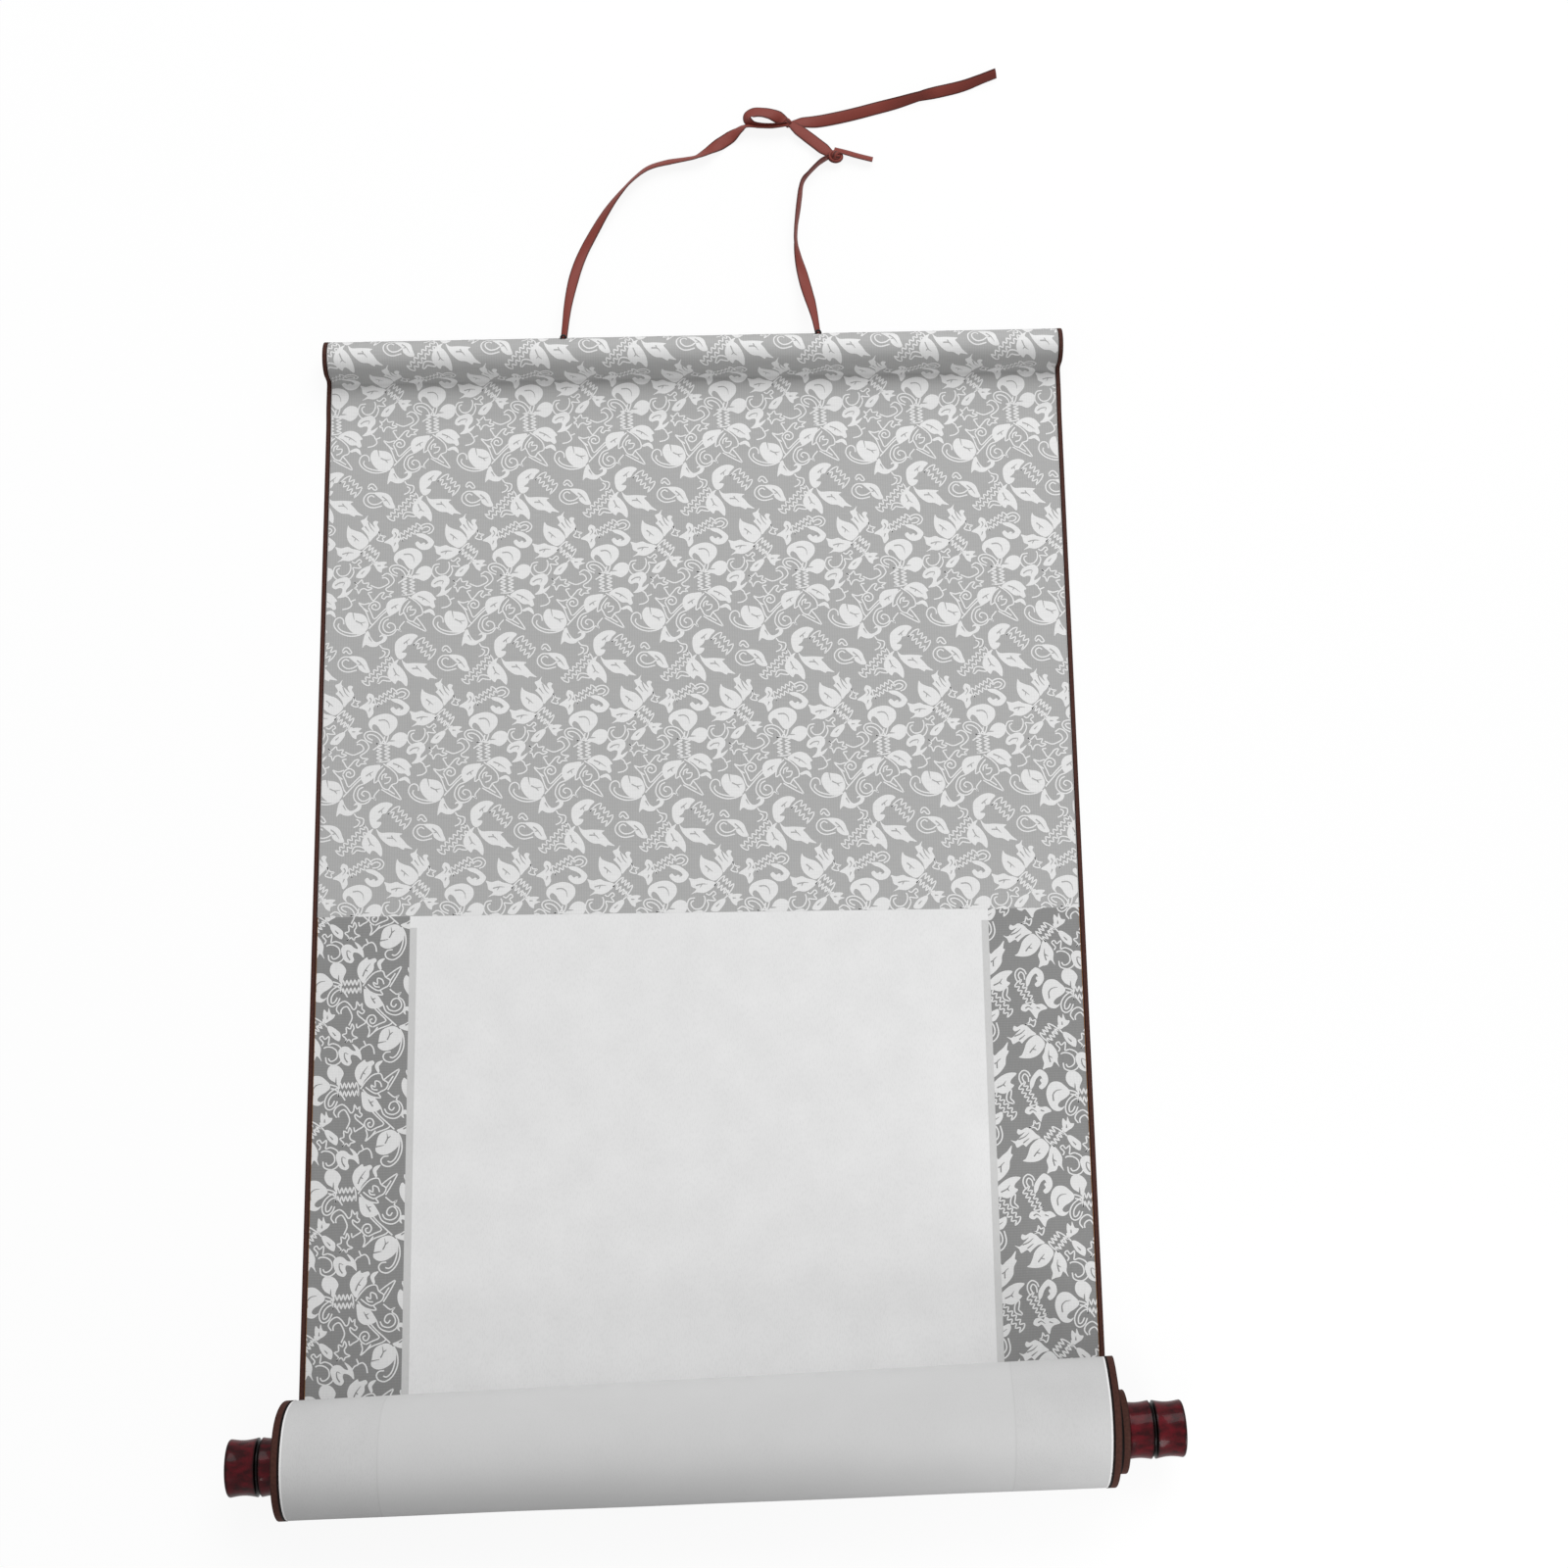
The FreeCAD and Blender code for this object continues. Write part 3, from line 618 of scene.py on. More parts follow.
def cloth_material(name, tint, turned=False, satin=False):
    """Figured cloth: woven ribs, thread to thread variation and a soft sheen."""
    recipe = Recipe(name, 0.55 if satin else 0.7)
    shader = recipe.shader
    shader.inputs["Specular IOR Level"].default_value = 0.35
    shader.inputs["Sheen Weight"].default_value = 0.12
    shader.inputs["Sheen Roughness"].default_value = 0.4
    weave = weave_height(recipe, turned)
    contrast = 0.035 if satin else 0.08
    ribs = recipe.ramp(weave, [(0.0, shade(tint, 1 - contrast)), (1.0, shade(tint, 1 + contrast))])
    threads = recipe.noise(recipe.coordinates("UV", (1.0, 0.12, 1.0) if turned
                                              else (0.12, 1.0, 1.0)), 1700.0, 2.0)
    streaks = recipe.ramp(threads, [(0.3, (0.94, 0.94, 0.94)), (0.7, (1.0, 1.0, 1.0))])
    recipe.base(recipe.mix(1.0, ribs, streaks, "MULTIPLY"))
    recipe.bump(weave, 0.35, 0.00008)
    return recipe.material


def tape_material(name, tint):
    """Brown paper tape: fine grain, dark folds and a black line along its inner edge.

    On the face a thin line follows inside the black one, pale beside the panel and rusty
    beside the strips. The map's X runs from 0 at the fold to 1 on the face and -1 on the back.
    """
    recipe = Recipe(name, 0.75)
    recipe.shader.inputs["Specular IOR Level"].default_value = 0.12
    place = recipe.coordinates()
    grain = recipe.noise(place, 900.0, 3.0)
    tone = recipe.ramp(grain, [(0.3, shade(tint, 0.8)), (0.72, shade(tint, 1.22))])
    across, along = recipe.map_places()
    white, black = (1.0, 1.0, 1.0), (0.05, 0.05, 0.05)
    lines = recipe.ramp(recipe.math("ABSOLUTE", across), [
        (0.0, (0.3, 0.3, 0.3)), (0.16, white), (0.70, white), (0.78, black)])
    tone = recipe.mix(1.0, tone, lines, "MULTIPLY")
    thread = recipe.mix(recipe.math("GREATER_THAN", along, 0.0), (0.52, 0.50, 0.49),
                        (0.24, 0.10, 0.035))
    tone = recipe.mix(recipe.math("GREATER_THAN", across, 0.9), tone, thread)
    recipe.base(tone)
    recipe.bump(recipe.noise(place, 2200.0, 2.0), 0.3, 0.00008)
    return recipe.material


def lacquer_material(name, thick, thin, groove_black):
    """Turned wood under dark red lacquer: blotches where it is thin, black in the groove."""
    recipe = Recipe(name, 0.3)
    shader = recipe.shader
    shader.inputs["Specular IOR Level"].default_value = 0.06
    shader.inputs["Coat Weight"].default_value = 0.12
    shader.inputs["Coat Roughness"].default_value = 0.07
    place = recipe.coordinates(scale=(0.6, 1.0, 1.0))
    blotch = recipe.noise(place, 330.0, 5.0)
    tone = recipe.ramp(blotch, [(0.36, thick), (0.66, thin)])
    in_groove = recipe.ramp(recipe.map_places()[0], groove_black)
    tone = recipe.mix(1.0, tone, in_groove, "MULTIPLY")
    recipe.base(tone)
    recipe.bump(recipe.noise(place, 420.0, 3.0), 0.3, 0.0004)
    return recipe.material


def wood_material(name, tint):
    """Planed softwood: long grain along the rod, with darker late wood."""
    recipe = Recipe(name, 0.6)
    grain = recipe.noise(recipe.coordinates(scale=(0.06, 1.0, 1.0)), 700.0, 4.0)
    recipe.base(recipe.ramp(grain, [(0.3, shade(tint, 0.7)), (0.6, tint), (0.8, shade(tint, 1.15))]))
    recipe.bump(grain, 0.3, 0.0001)
    return recipe.material


def wire_material(name):
    """Black enamelled wire with small rubbed spots."""
    recipe = Recipe(name, 0.4)
    recipe.shader.inputs["Specular IOR Level"].default_value = 0.2
    spots = recipe.noise(recipe.coordinates(), 1500.0, 2.0)
    recipe.base(recipe.ramp(spots, [(0.5, (0.005, 0.005, 0.005)), (0.8, (0.03, 0.03, 0.028))]))
    recipe.bump(spots, 0.2, 0.00005)
    return recipe.material


def ribbon_material(name, tint, edge, selvedge):
    """Satin ribbon: cross ribs, lengthwise streaks and darker woven edges."""
    recipe = Recipe(name, 0.5)
    recipe.shader.inputs["Specular IOR Level"].default_value = 0.18
    across = recipe.map_places()[0]
    centred = recipe.math("ABSOLUTE", recipe.math("SUBTRACT", across, 0.5))
    threads = recipe.noise(recipe.coordinates("UV", (60.0, 60.0, 1.0)), 12.0, 3.0)
    tone = recipe.ramp(threads, [(0.3, shade(tint, 0.86)), (0.7, shade(tint, 1.12))])
    rim = recipe.ramp(centred, [(0.5 - 1.6 * selvedge, (1.0, 1.0, 1.0)),
                                (0.5 - 0.6 * selvedge, tuple(e / t for e, t in zip(edge, tint)))])
    recipe.base(recipe.mix(1.0, tone, rim, "MULTIPLY"))
    ribs = recipe.node("ShaderNodeTexWave", wave_type="BANDS", bands_direction="Y")
    ribs.inputs["Scale"].default_value = 700.0
    recipe.link(recipe.coordinates("UV"), ribs.inputs["Vector"])
    recipe.bump(ribs.outputs["Fac"], 0.25, 0.00008)
    return recipe.material


# The sheet

def edge_reach():
    """How far the backing and the facing reach from the sheet's middle, inside the tape."""
    sheet = sheet_sizes()
    room = 0.02 * MM
    return sheet.width / 2 - sheet.tape - room


def last_stretch():
    """The number that follows the last stretch in the core."""
    return SECOND_TURN + 1 + roll_sizes().core_turns


def across_sheet(count):
    """Evenly spaced X values from edge to edge, inside the tape."""
    return np.linspace(-edge_reach(), edge_reach(), count)


def facing_slab(name, x, begin, end):
    """The one layer of cloth that lies on the backing."""
    sheet = sheet_sizes()
    low, high = sheet.tape + sheet.backing, face_height()
    return slab(name, x, begin, end, lambda number: low, lambda number: high)


def make_backing():
    """The white backing, and the roll's turns, in which it carries its facing."""
    sheet = sheet_sizes()
    full = face_height()
    thin = sheet.tape + sheet.backing
    piece = slab("backing_sheet", across_sheet(60), FLAP, last_stretch(),
                 lambda number: sheet.tape,
                 lambda number: full if number >= LOOSE_TURN else thin)
    material = paper_material("white_backing_paper", colours().paper, seams_and_highlight=True)
    finish_piece(piece, material, "white_paper", "backing_and_roll")


def make_panel():
    """The cloth over the top rod and down to the picture."""
    piece = facing_slab("brocade_panel", across_sheet(8), FLAP, BESIDE_PICTURE)
    material = cloth_material("brocade_ground", colours().ground)
    finish_piece(piece, material, "grey_brocade", "top_brocade_panel")
    return material


# The figure of the cloth
# It is drawn once, in units of about a sixteenth of a millimetre, with Y downwards, and is
# then repeated on a slanting lattice. Leaves are solid, stems and buds are drawn in outline,
# and veins show the ground. LEFT_TURN and RIGHT_TURN are where the upright cloth's zero comes to
# lie on the quarter-turned cloth of each strip.

FIGURE_UNIT_X = 0.06285 * MM
FIGURE_UNIT_Y = 0.06559 * MM
FIGURE_X = -164.5 * MM
FIGURE_Y = 164.8 * MM
FIGURE_LEAN = 0.0012 * MM
REPEAT_ACROSS = 43.4 * MM
REPEAT_DOWN = (-9.4 * MM, -76.0 * MM)
MOST_REPEATS = 14
LEFT_TURN = (0.5 * MM, 97.2 * MM)
RIGHT_TURN = (235.3 * MM, 99.6 * MM)
LINE_WIDTH = 9.5
VEIN_WIDTH = 8.0
VEIN_TAPER = 0.75
COMB_NOTCH = 0.18
FIGURE_LIFT = 0.02 * MM
SHAPE_STEP = 0.001 * MM
GENTLE_BAND = 1.6 * MM
TIGHT_BAND = 0.7 * MM

LEAVES = [
    # tall leaf, fern and low leaf of the large spray
    [(688, 972), (702, 992), (740, 1010), (780, 1024), (812, 1052), (834, 1092), (808, 1128),
     (772, 1146), (732, 1128), (698, 1098), (680, 1056), (679, 1010)],
    [(828, 900), (820, 932), (848, 962), (878, 992), (862, 958), (876, 942), (900, 950),
     (892, 972), (908, 1004), (892, 1038), (866, 1062), (838, 1092), (826, 1050), (796, 1012),
     (780, 996), (796, 978), (776, 940), (804, 926)],
    [(600, 1124), (640, 1134), (684, 1124), (716, 1138), (760, 1148), (786, 1166), (748, 1204),
     (700, 1226), (652, 1222), (612, 1234), (650, 1202), (618, 1184), (610, 1150)],
    # crescent leaf of the middle spray, and its two long leaves
    [(540, 610), (575, 592), (622, 587), (658, 604), (630, 634), (612, 662), (586, 668),
     (574, 692), (546, 716), (580, 722), (568, 750), (535, 766), (510, 745), (498, 704),
     (500, 655), (515, 630)],
    [(526, 764), (482, 790), (456, 830), (447, 870), (466, 902), (500, 936), (516, 914),
     (542, 920), (580, 955), (586, 905), (566, 855), (534, 815), (512, 796)],
    [(545, 764), (574, 792), (640, 792), (722, 800), (704, 816), (728, 842), (756, 876),
     (794, 906), (742, 898), (730, 910), (690, 890), (640, 884), (592, 850), (560, 810)],
    # round bud
    [(884, 430), (862, 436), (843, 468), (848, 512), (880, 560), (930, 588), (984, 566),
     (1006, 530), (1000, 490), (980, 456), (950, 441), (916, 436)],
    # bell leaf
    [(1002, 562), (976, 600), (962, 680), (986, 660), (1020, 674), (1060, 674), (1086, 656),
     (1120, 640), (1136, 610), (1122, 590), (1094, 590), (1080, 608), (1104, 602), (1104, 620),
     (1080, 638), (1052, 640), (1022, 606)],
    # leaf of the looped stem
    [(868, 742), (910, 737), (960, 748), (990, 775), (1004, 812), (1018, 851), (980, 855),
     (940, 830), (930, 800), (905, 776)],
    # star leaf, curled leaf and crescent of the low spray
    [(318, 998), (352, 1012), (355, 1045), (345, 1064), (366, 1075), (350, 1100), (352, 1138),
     (320, 1170), (306, 1130), (286, 1110), (250, 1098), (290, 1070), (314, 1050), (302, 1028)],
    [(470, 1040), (520, 1038), (560, 1058), (594, 1088), (600, 1112), (570, 1148), (520, 1156),
     (482, 1134), (468, 1108), (488, 1094), (508, 1112), (528, 1102), (546, 1112), (552, 1092),
     (522, 1072), (490, 1060)],
    [(318, 1215), (330, 1180), (370, 1154), (430, 1140), (480, 1150), (514, 1180), (514, 1228),
     (482, 1268), (456, 1290), (430, 1290), (404, 1262), (386, 1232), (366, 1215), (350, 1216),
     (342, 1236), (352, 1256), (330, 1242)],
    # bud below the crescent
    [(432, 1352), (466, 1326), (490, 1290), (530, 1270), (574, 1280), (586, 1312), (572, 1350),
     (530, 1376), (490, 1362), (456, 1354)],
    # two leaves and a tip beside the lantern
    [(575, 335), (520, 335), (472, 345), (442, 375), (438, 420), (460, 460), (490, 448),
     (530, 420), (546, 385)],
    [(612, 330), (650, 300), (700, 287), (745, 300), (770, 325), (787, 350), (770, 360),
     (780, 400), (760, 412), (740, 395), (700, 392), (650, 352)],
    [(698, 434), (740, 415), (768, 430), (777, 466), (752, 450), (736, 440), (706, 446)],
    # hooked leaf
    [(750, 240), (766, 208), (805, 188), (850, 180), (878, 205), (876, 240), (852, 268),
     (850, 290), (896, 264), (872, 300), (836, 322), (784, 328), (814, 298), (822, 264),
     (800, 258), (774, 266), (755, 256)],
    # small buds of the arrow stem
    [(744, 1342), (768, 1300), (800, 1276), (842, 1262), (846, 1288), (816, 1330), (790, 1350)],
    [(868, 1246), (920, 1234), (962, 1240), (940, 1262), (972, 1270), (930, 1286), (924, 1312),
     (898, 1300), (880, 1272)],
]

VEINS = [
    [(715, 1045), (740, 1064), (766, 1086)], [(740, 1064), (733, 1088)],
    [(830, 950), (846, 990), (872, 1020)], [(806, 980), (836, 1020)],
    [(648, 1176), (690, 1166), (728, 1168)], [(690, 1166), (676, 1190)],
    [(560, 656), (580, 640), (602, 622)], [(580, 640), (584, 662)],
    [(488, 826), (508, 866), (534, 884)], [(508, 866), (494, 880)],
    [(618, 830), (660, 832), (684, 856)], [(648, 814), (660, 832)],
    [(896, 424), (900, 452), (906, 484)],
    [(916, 490), (950, 505), (988, 500)], [(950, 505), (966, 526)],
    [(926, 768), (958, 794), (984, 832)], [(958, 794), (936, 800)],
    [(326, 1028), (336, 1048), (318, 1074)], [(330, 1100), (320, 1124)],
    [(530, 1080), (556, 1104), (536, 1116)],
    [(388, 1186), (430, 1184), (456, 1206), (462, 1242)],
    [(462, 1328), (502, 1328)],
    [(474, 408), (500, 390), (524, 378)], [(500, 390), (508, 412)],
    [(658, 324), (700, 340), (744, 372)], [(700, 340), (690, 356)],
    [(772, 240), (800, 222), (836, 220), (826, 244)],
    [(782, 1318), (806, 1296)], [(896, 1262), (920, 1262)],
    [(1008, 604), (1030, 640)],
]

STEMS = [
    # legs of the hooked leaf
    [(842, 312), (868, 330), (880, 352), (914, 340)], [(880, 350), (888, 380), (862, 402), (822, 410)],
    # star flower and its forked stem
    [(905, 218), (928, 228), (958, 202), (968, 228), (1008, 226), (996, 252), (1030, 262),
     (1000, 276), (975, 264), (950, 272), (935, 300), (925, 270), (905, 262), (925, 245),
     (905, 218)],
    [(1020, 242), (1070, 262), (1110, 252), (1146, 230), (1142, 206), (1122, 190), (1098, 192)],
    [(1098, 180), (1130, 160), (1165, 175), (1184, 212), (1160, 245), (1126, 268), (1140, 286),
     (1180, 290), (1150, 308), (1166, 324), (1130, 324), (1114, 340), (1096, 326), (1116, 296),
     (1088, 300), (1060, 330), (1036, 350), (1014, 316), (1002, 296), (1030, 290)],
    # flag and spiral on their stems
    [(1005, 392), (1024, 366), (1054, 356), (1082, 374), (1082, 402), (1056, 416), (1030, 404),
     (1032, 384), (1052, 378), (1060, 394)],
    [(936, 364), (974, 376), (1014, 366)], [(940, 372), (986, 426), (1014, 500), (1030, 520)],
    [(936, 364), (966, 400), (1004, 428)], [(1004, 396), (1024, 438), (1046, 480), (1092, 440),
     (1130, 406), (1140, 416), (1096, 456), (1054, 500), (1008, 548)],
    # hooked stem under the round bud
    [(834, 514), (830, 482), (806, 466), (776, 480), (765, 520), (790, 560), (830, 585),
     (880, 598), (940, 592), (986, 570)],
    [(800, 508), (794, 530), (816, 556), (860, 574), (920, 582), (962, 572)],
    # curl below the bell leaf
    [(1084, 662), (1104, 686), (1148, 698), (1144, 736), (1120, 750)],
    [(1100, 700), (1122, 716), (1110, 742), (1080, 756)],
    # wedge, loop and arch
    [(1068, 928), (1084, 890), (1116, 884), (1150, 895), (1162, 916), (1130, 914), (1104, 910),
     (1082, 930), (1068, 928)],
    [(876, 744), (832, 744), (800, 774), (800, 812), (830, 840), (870, 848), (926, 836)],
    [(872, 772), (850, 760), (826, 776), (830, 804), (860, 824), (900, 820), (930, 802)],
    [(825, 702), (840, 680), (866, 680), (890, 714), (870, 720), (850, 700), (835, 714),
     (825, 702)],
    # curl over the low spray
    [(500, 988), (540, 970), (576, 974), (598, 1000), (584, 1030), (556, 1042)],
    [(516, 1004), (548, 990), (574, 1004), (556, 1026), (520, 1030)],
    # stem of the bud
    [(456, 1290), (446, 1322), (430, 1352)], [(430, 1296), (424, 1320), (410, 1340)],
    # open ring and its thorn
    [(640, 1258), (604, 1264), (588, 1290), (586, 1322), (610, 1354), (660, 1366), (708, 1346),
     (730, 1304), (722, 1274), (748, 1276), (780, 1276), (760, 1250), (782, 1234), (768, 1216),
     (738, 1240), (716, 1230)],
    [(632, 1276), (612, 1288), (616, 1312), (640, 1332), (680, 1326), (704, 1296), (708, 1262),
     (700, 1244)],
    # stems of the arrow
    [(842, 1262), (866, 1238), (852, 1200)], [(866, 1238), (898, 1234)],
    # small flower of the large spray
    [(905, 1020), (920, 1048), (952, 1055), (930, 1068), (936, 1090), (906, 1086), (890, 1074),
     (906, 1056), (905, 1020)],
    # spiral head over the comb
    [(516, 182), (478, 164), (460, 134), (476, 108), (520, 102), (564, 122), (596, 162),
     (604, 196)],
    [(520, 164), (490, 148), (484, 128), (520, 126), (556, 148), (572, 184), (548, 212),
     (520, 230)],
    # lantern
    [(592, 326), (640, 358), (682, 402), (690, 452), (650, 470), (626, 502), (590, 490),
     (572, 458), (558, 428), (574, 394), (604, 358)],
    [(590, 340), (556, 370), (536, 410), (530, 456), (556, 440)],
    [(582, 436), (588, 404), (616, 394), (602, 420), (642, 420), (632, 450), (600, 462)],
    [(650, 476), (682, 516), (716, 570), (690, 562), (630, 530), (580, 500)],
    [(622, 502), (672, 534)],
    # spiral beside the lantern
    [(466, 458), (420, 476), (396, 510), (390, 550), (410, 584), (450, 598), (490, 584),
     (514, 556), (542, 572), (530, 544), (566, 500)],
    [(456, 482), (426, 500), (416, 540), (436, 572), (470, 576), (502, 552), (492, 520),
     (460, 510), (444, 530), (464, 546)],
]

# A comb is a stem with short teeth on both sides: (start, end, width, teeth)
COMBS = [
    ((590, 186), (592, 312), 92, 5),
    ((1172, 762), (980, 932), 62, 7),
    ((660, 636), (762, 742), 92, 4),
    ((366, 1066), (504, 984), 62, 5),
    ((806, 1142), (886, 1212), 96, 4),
]


def smooth_line(points, closed=False, steps=3):
    """A Catmull-Rom curve through the points.

    Between two points p1 and p2 with neighbours p0 and p3 it is half of 2 p1 + (p2 - p0) t +
    (2 p0 - 5 p1 + 4 p2 - p3) t^2 + (3 p1 - p0 - 3 p2 + p3) t^3.
    """
    points = np.asarray(points, dtype=float)
    if closed:
        padded = np.concatenate([points[-1:], points, points[:2]])
    else:
        padded = np.concatenate([2 * points[:1] - points[1:2], points,
                                 2 * points[-1:] - points[-2:-1]])
    p0, p1, p2, p3 = (padded[i:len(padded) - 3 + i, None] for i in range(4))
    t = (np.arange(steps) / steps)[None, :, None]
    curve = 0.5 * (2 * p1 + (p2 - p0) * t + (2 * p0 - 5 * p1 + 4 * p2 - p3) * t ** 2
                   + (3 * p1 - p0 - 3 * p2 + p3) * t ** 3)
    curve = curve.reshape(-1, 2)
    return curve if closed else np.concatenate([curve, points[-1:]])


def comb_outline(start, end, width, teeth):
    """A closed outline whose two sides step in and out, half a tooth apart."""
    start, end = np.array(start, dtype=float), np.array(end, dtype=float)
    run = end - start
    across = np.array([-run[1], run[0]]) / np.hypot(*run) * width / 2
    outline = []
    for sign, shares in ((1, np.arange(2 * teeth + 1)), (-1, np.arange(2 * teeth, -1, -1))):
        for index in shares:
            reach = 1.0 if (index % 2 == 0) == (sign > 0) else COMB_NOTCH
            outline.append(start + run * index / (2 * teeth) + across * sign * reach)
    outline.append(outline[0])
    return outline


def brush(points, width, taper):
    """The two sides of a stroke along a line, which loses the taper's share of its width."""
    run = np.gradient(points, axis=0)
    across = np.stack([-run[:, 1], run[:, 0]], axis=1)
    across /= np.maximum(np.linalg.norm(across, axis=1, keepdims=True), TINY)
    share = np.linspace(0.0, 1.0, len(points))[:, None]
    half = width / 2 * (1 - taper * share ** 2)
    return points + across * half, points - across * half


def figure_drawing():
    """One repeat of the drawing as (points, faces) pairs: leaves, stems, combs, then veins."""
    shapes = []
    for outline in LEAVES:
        points = smooth_line(outline, closed=True)
        shapes.append((points, [list(range(len(points)))]))
    strokes = [(line, LINE_WIDTH, 0.0) for line in STEMS]
    strokes += [(comb_outline(*comb), LINE_WIDTH, 0.0) for comb in COMBS]
    strokes += [(line, VEIN_WIDTH, VEIN_TAPER) for line in VEINS]
    for line, width, taper in strokes:
        left, right = brush(smooth_line(line), width, taper)
        count = len(left)
        faces = [[i, i + 1, count + i + 1, count + i] for i in range(count - 1)]
        shapes.append((np.concatenate([left, right]), faces))
    return shapes


def outside(points, left, right, foot, head):
    """Whether all of the points lie beyond one edge of a field."""
    low, high = points.min(axis=0), points.max(axis=0)
    return high[0] < left or low[0] > right or high[1] < foot or low[1] > head


def lay_out_figure(field, turned_at):
    """The flat drawing repeated over a field of cloth and cut to its edges.

    A point's X is its place across the sheet and its Y its distance above the picture's top
    edge. The field is (left, right, foot, head), and it is cut into narrow bands wherever the
    sheet bends. On turned cloth the drawing is turned a quarter about turned_at.
    """
    left, right, foot, head = field
    work = bmesh.new()
    number_of = work.faces.layers.int.new("number")
    drawing = figure_drawing()
    reach = range(-MOST_REPEATS, MOST_REPEATS + 1)
    cell = np.concatenate([points for points, _ in drawing])
    low, high = cell.min(axis=0), cell.max(axis=0)
    for across in reach:
        for down in reach:
            shift = np.array([across * REPEAT_ACROSS + down * REPEAT_DOWN[0],
                              down * REPEAT_DOWN[1]])
            corners = figure_place(np.array([low, high, (low[0], high[1]), (high[0], low[1])]),
                                   shift, turned_at)
            if outside(corners, *field):
                continue
            for number, (points, faces) in enumerate(drawing):
                placed = figure_place(points, shift, turned_at)
                if outside(placed, *field):
                    continue
                verts = [work.verts.new((x, y, 0.0)) for x, y in placed]
                for face in faces:
                    made = work.faces.new([verts[i] for i in face])
                    made[number_of] = number
    bmesh.ops.triangulate(work, faces=work.faces)
    for place, way in (((left, 0, 0), (-1, 0, 0)), ((right, 0, 0), (1, 0, 0)),
                       ((0, foot, 0), (0, -1, 0)), ((0, head, 0), (0, 1, 0))):
        cut_figure(work, place, way, True)
    for mark in bend_marks():
        if foot < mark < head:
            cut_figure(work, (0, mark, 0), (0, 1, 0), False)
    bmesh.ops.triangulate(work, faces=work.faces)
    return work, number_of


def cut_figure(work, place, way, clear):
    """Cuts the drawing along a line and may clear what lies beyond it."""
    everything = list(work.verts) + list(work.edges) + list(work.faces)
    bmesh.ops.bisect_plane(work, geom=everything, dist=TINY, plane_co=place, plane_no=way,
                           clear_outer=clear)


def figure_place(points, shift, turned_at):
    """Drawing units to the cloth: scaled, leaned, shifted, and turned a quarter if asked."""
    x = FIGURE_X + points[:, 0] * FIGURE_UNIT_X + points[:, 1] * FIGURE_LEAN + shift[0]
    y = FIGURE_Y - points[:, 1] * FIGURE_UNIT_Y + shift[1]
    if turned_at is None:
        return np.stack([x, y], axis=1)
    return np.stack([turned_at[0] - y, turned_at[1] + x], axis=1)


def bend_marks():
    """Distances above the picture's top edge at which the drawing is cut to follow bends."""
    marks = []
    at = 0.0
    path = sheet_path(0.0)
    for number in range(PANEL, FLAP - 1, -1):
        run = stretch_length(path[number])
        if len(path[number]) == 5:
            steps = math.ceil(run / (GENTLE_BAND if number >= RAMP_TOP else TIGHT_BAND))
            marks += [at + run * i / steps for i in range(steps + 1)]
        at += run
    return sorted(set(round(mark, 7) for mark in marks))


def wrap_on_sheet(x, distance, offset):
    """Points of the cloth at X and at a distance above the picture's top edge.

    The distance is spent stretch by stretch, from the flat panel over the flap and the rod.
    """
    home_x, home_y = home_shift()
    sheet = sheet_sizes()
    y = sheet.picture_top + distance
    z = np.zeros_like(distance) + offset
    at = 0.0
    middle, path = sheet_path(0.0), sheet_path(x)
    for number in range(PANEL, FLAP - 1, -1):
        run = stretch_length(middle[number])
        inside = distance > at if number == FLAP else (distance > at) & (distance <= at + run)
        share = 1.0 - (distance[inside] - at) / run
        if inside.any():
            stretch = [np.broadcast_to(value, x.shape)[inside] for value in path[number]]
            y[inside], z[inside] = place_along(stretch, share, offset[inside])
        at += run
    return np.stack([x - home_x, y - home_y, z], axis=1)


def place_along(stretch, share, offset):
    """As place_on, with its own stretch and offset for each share."""
    if len(stretch) == 4:
        y0, z0, y1, z1 = stretch
        run = np.hypot(y1 - y0, z1 - z0)
        return (y0 + (y1 - y0) * share + (z1 - z0) / run * offset,
                z0 + (z1 - z0) * share - (y1 - y0) / run * offset)
    y, z, radius, first, last = stretch
    angle = first + (last - first) * share
    reach = radius + np.where(last > first, offset, -offset)
    return y + reach * np.cos(angle), z + reach * np.sin(angle)


def make_figure(name, field, turned_at, materials):
    """The pale figure of one piece of cloth, FIGURE_LIFT above the cloth's face.

    Each shape of the drawing lies SHAPE_STEP above the last. The second material is the ground
    that shows in the veins.
    """
    work, number_of = lay_out_figure(field, turned_at)
    work.verts.index_update()
    corners = np.array([[vert.index for vert in face.verts] for face in work.faces])
    numbers = np.array([face[number_of] for face in work.faces])
    flat = np.array([vert.co[:2] for vert in work.verts])
    height = np.zeros(len(flat))
    height[corners.ravel()] = np.repeat(numbers, 3)
    work.free()
    offset = face_height() + FIGURE_LIFT + SHAPE_STEP * height
    points = wrap_on_sheet(flat[:, 0], flat[:, 1], offset)
    piece = new_piece(name, points, corners, flat, smooth=False)
    face_up(piece)
    finish_piece(piece, materials, "grey_brocade")
    first_vein = len(LEAVES) + len(STEMS) + len(COMBS)
    piece.data.polygons.foreach_set("material_index", (numbers >= first_vein).astype(np.int32))


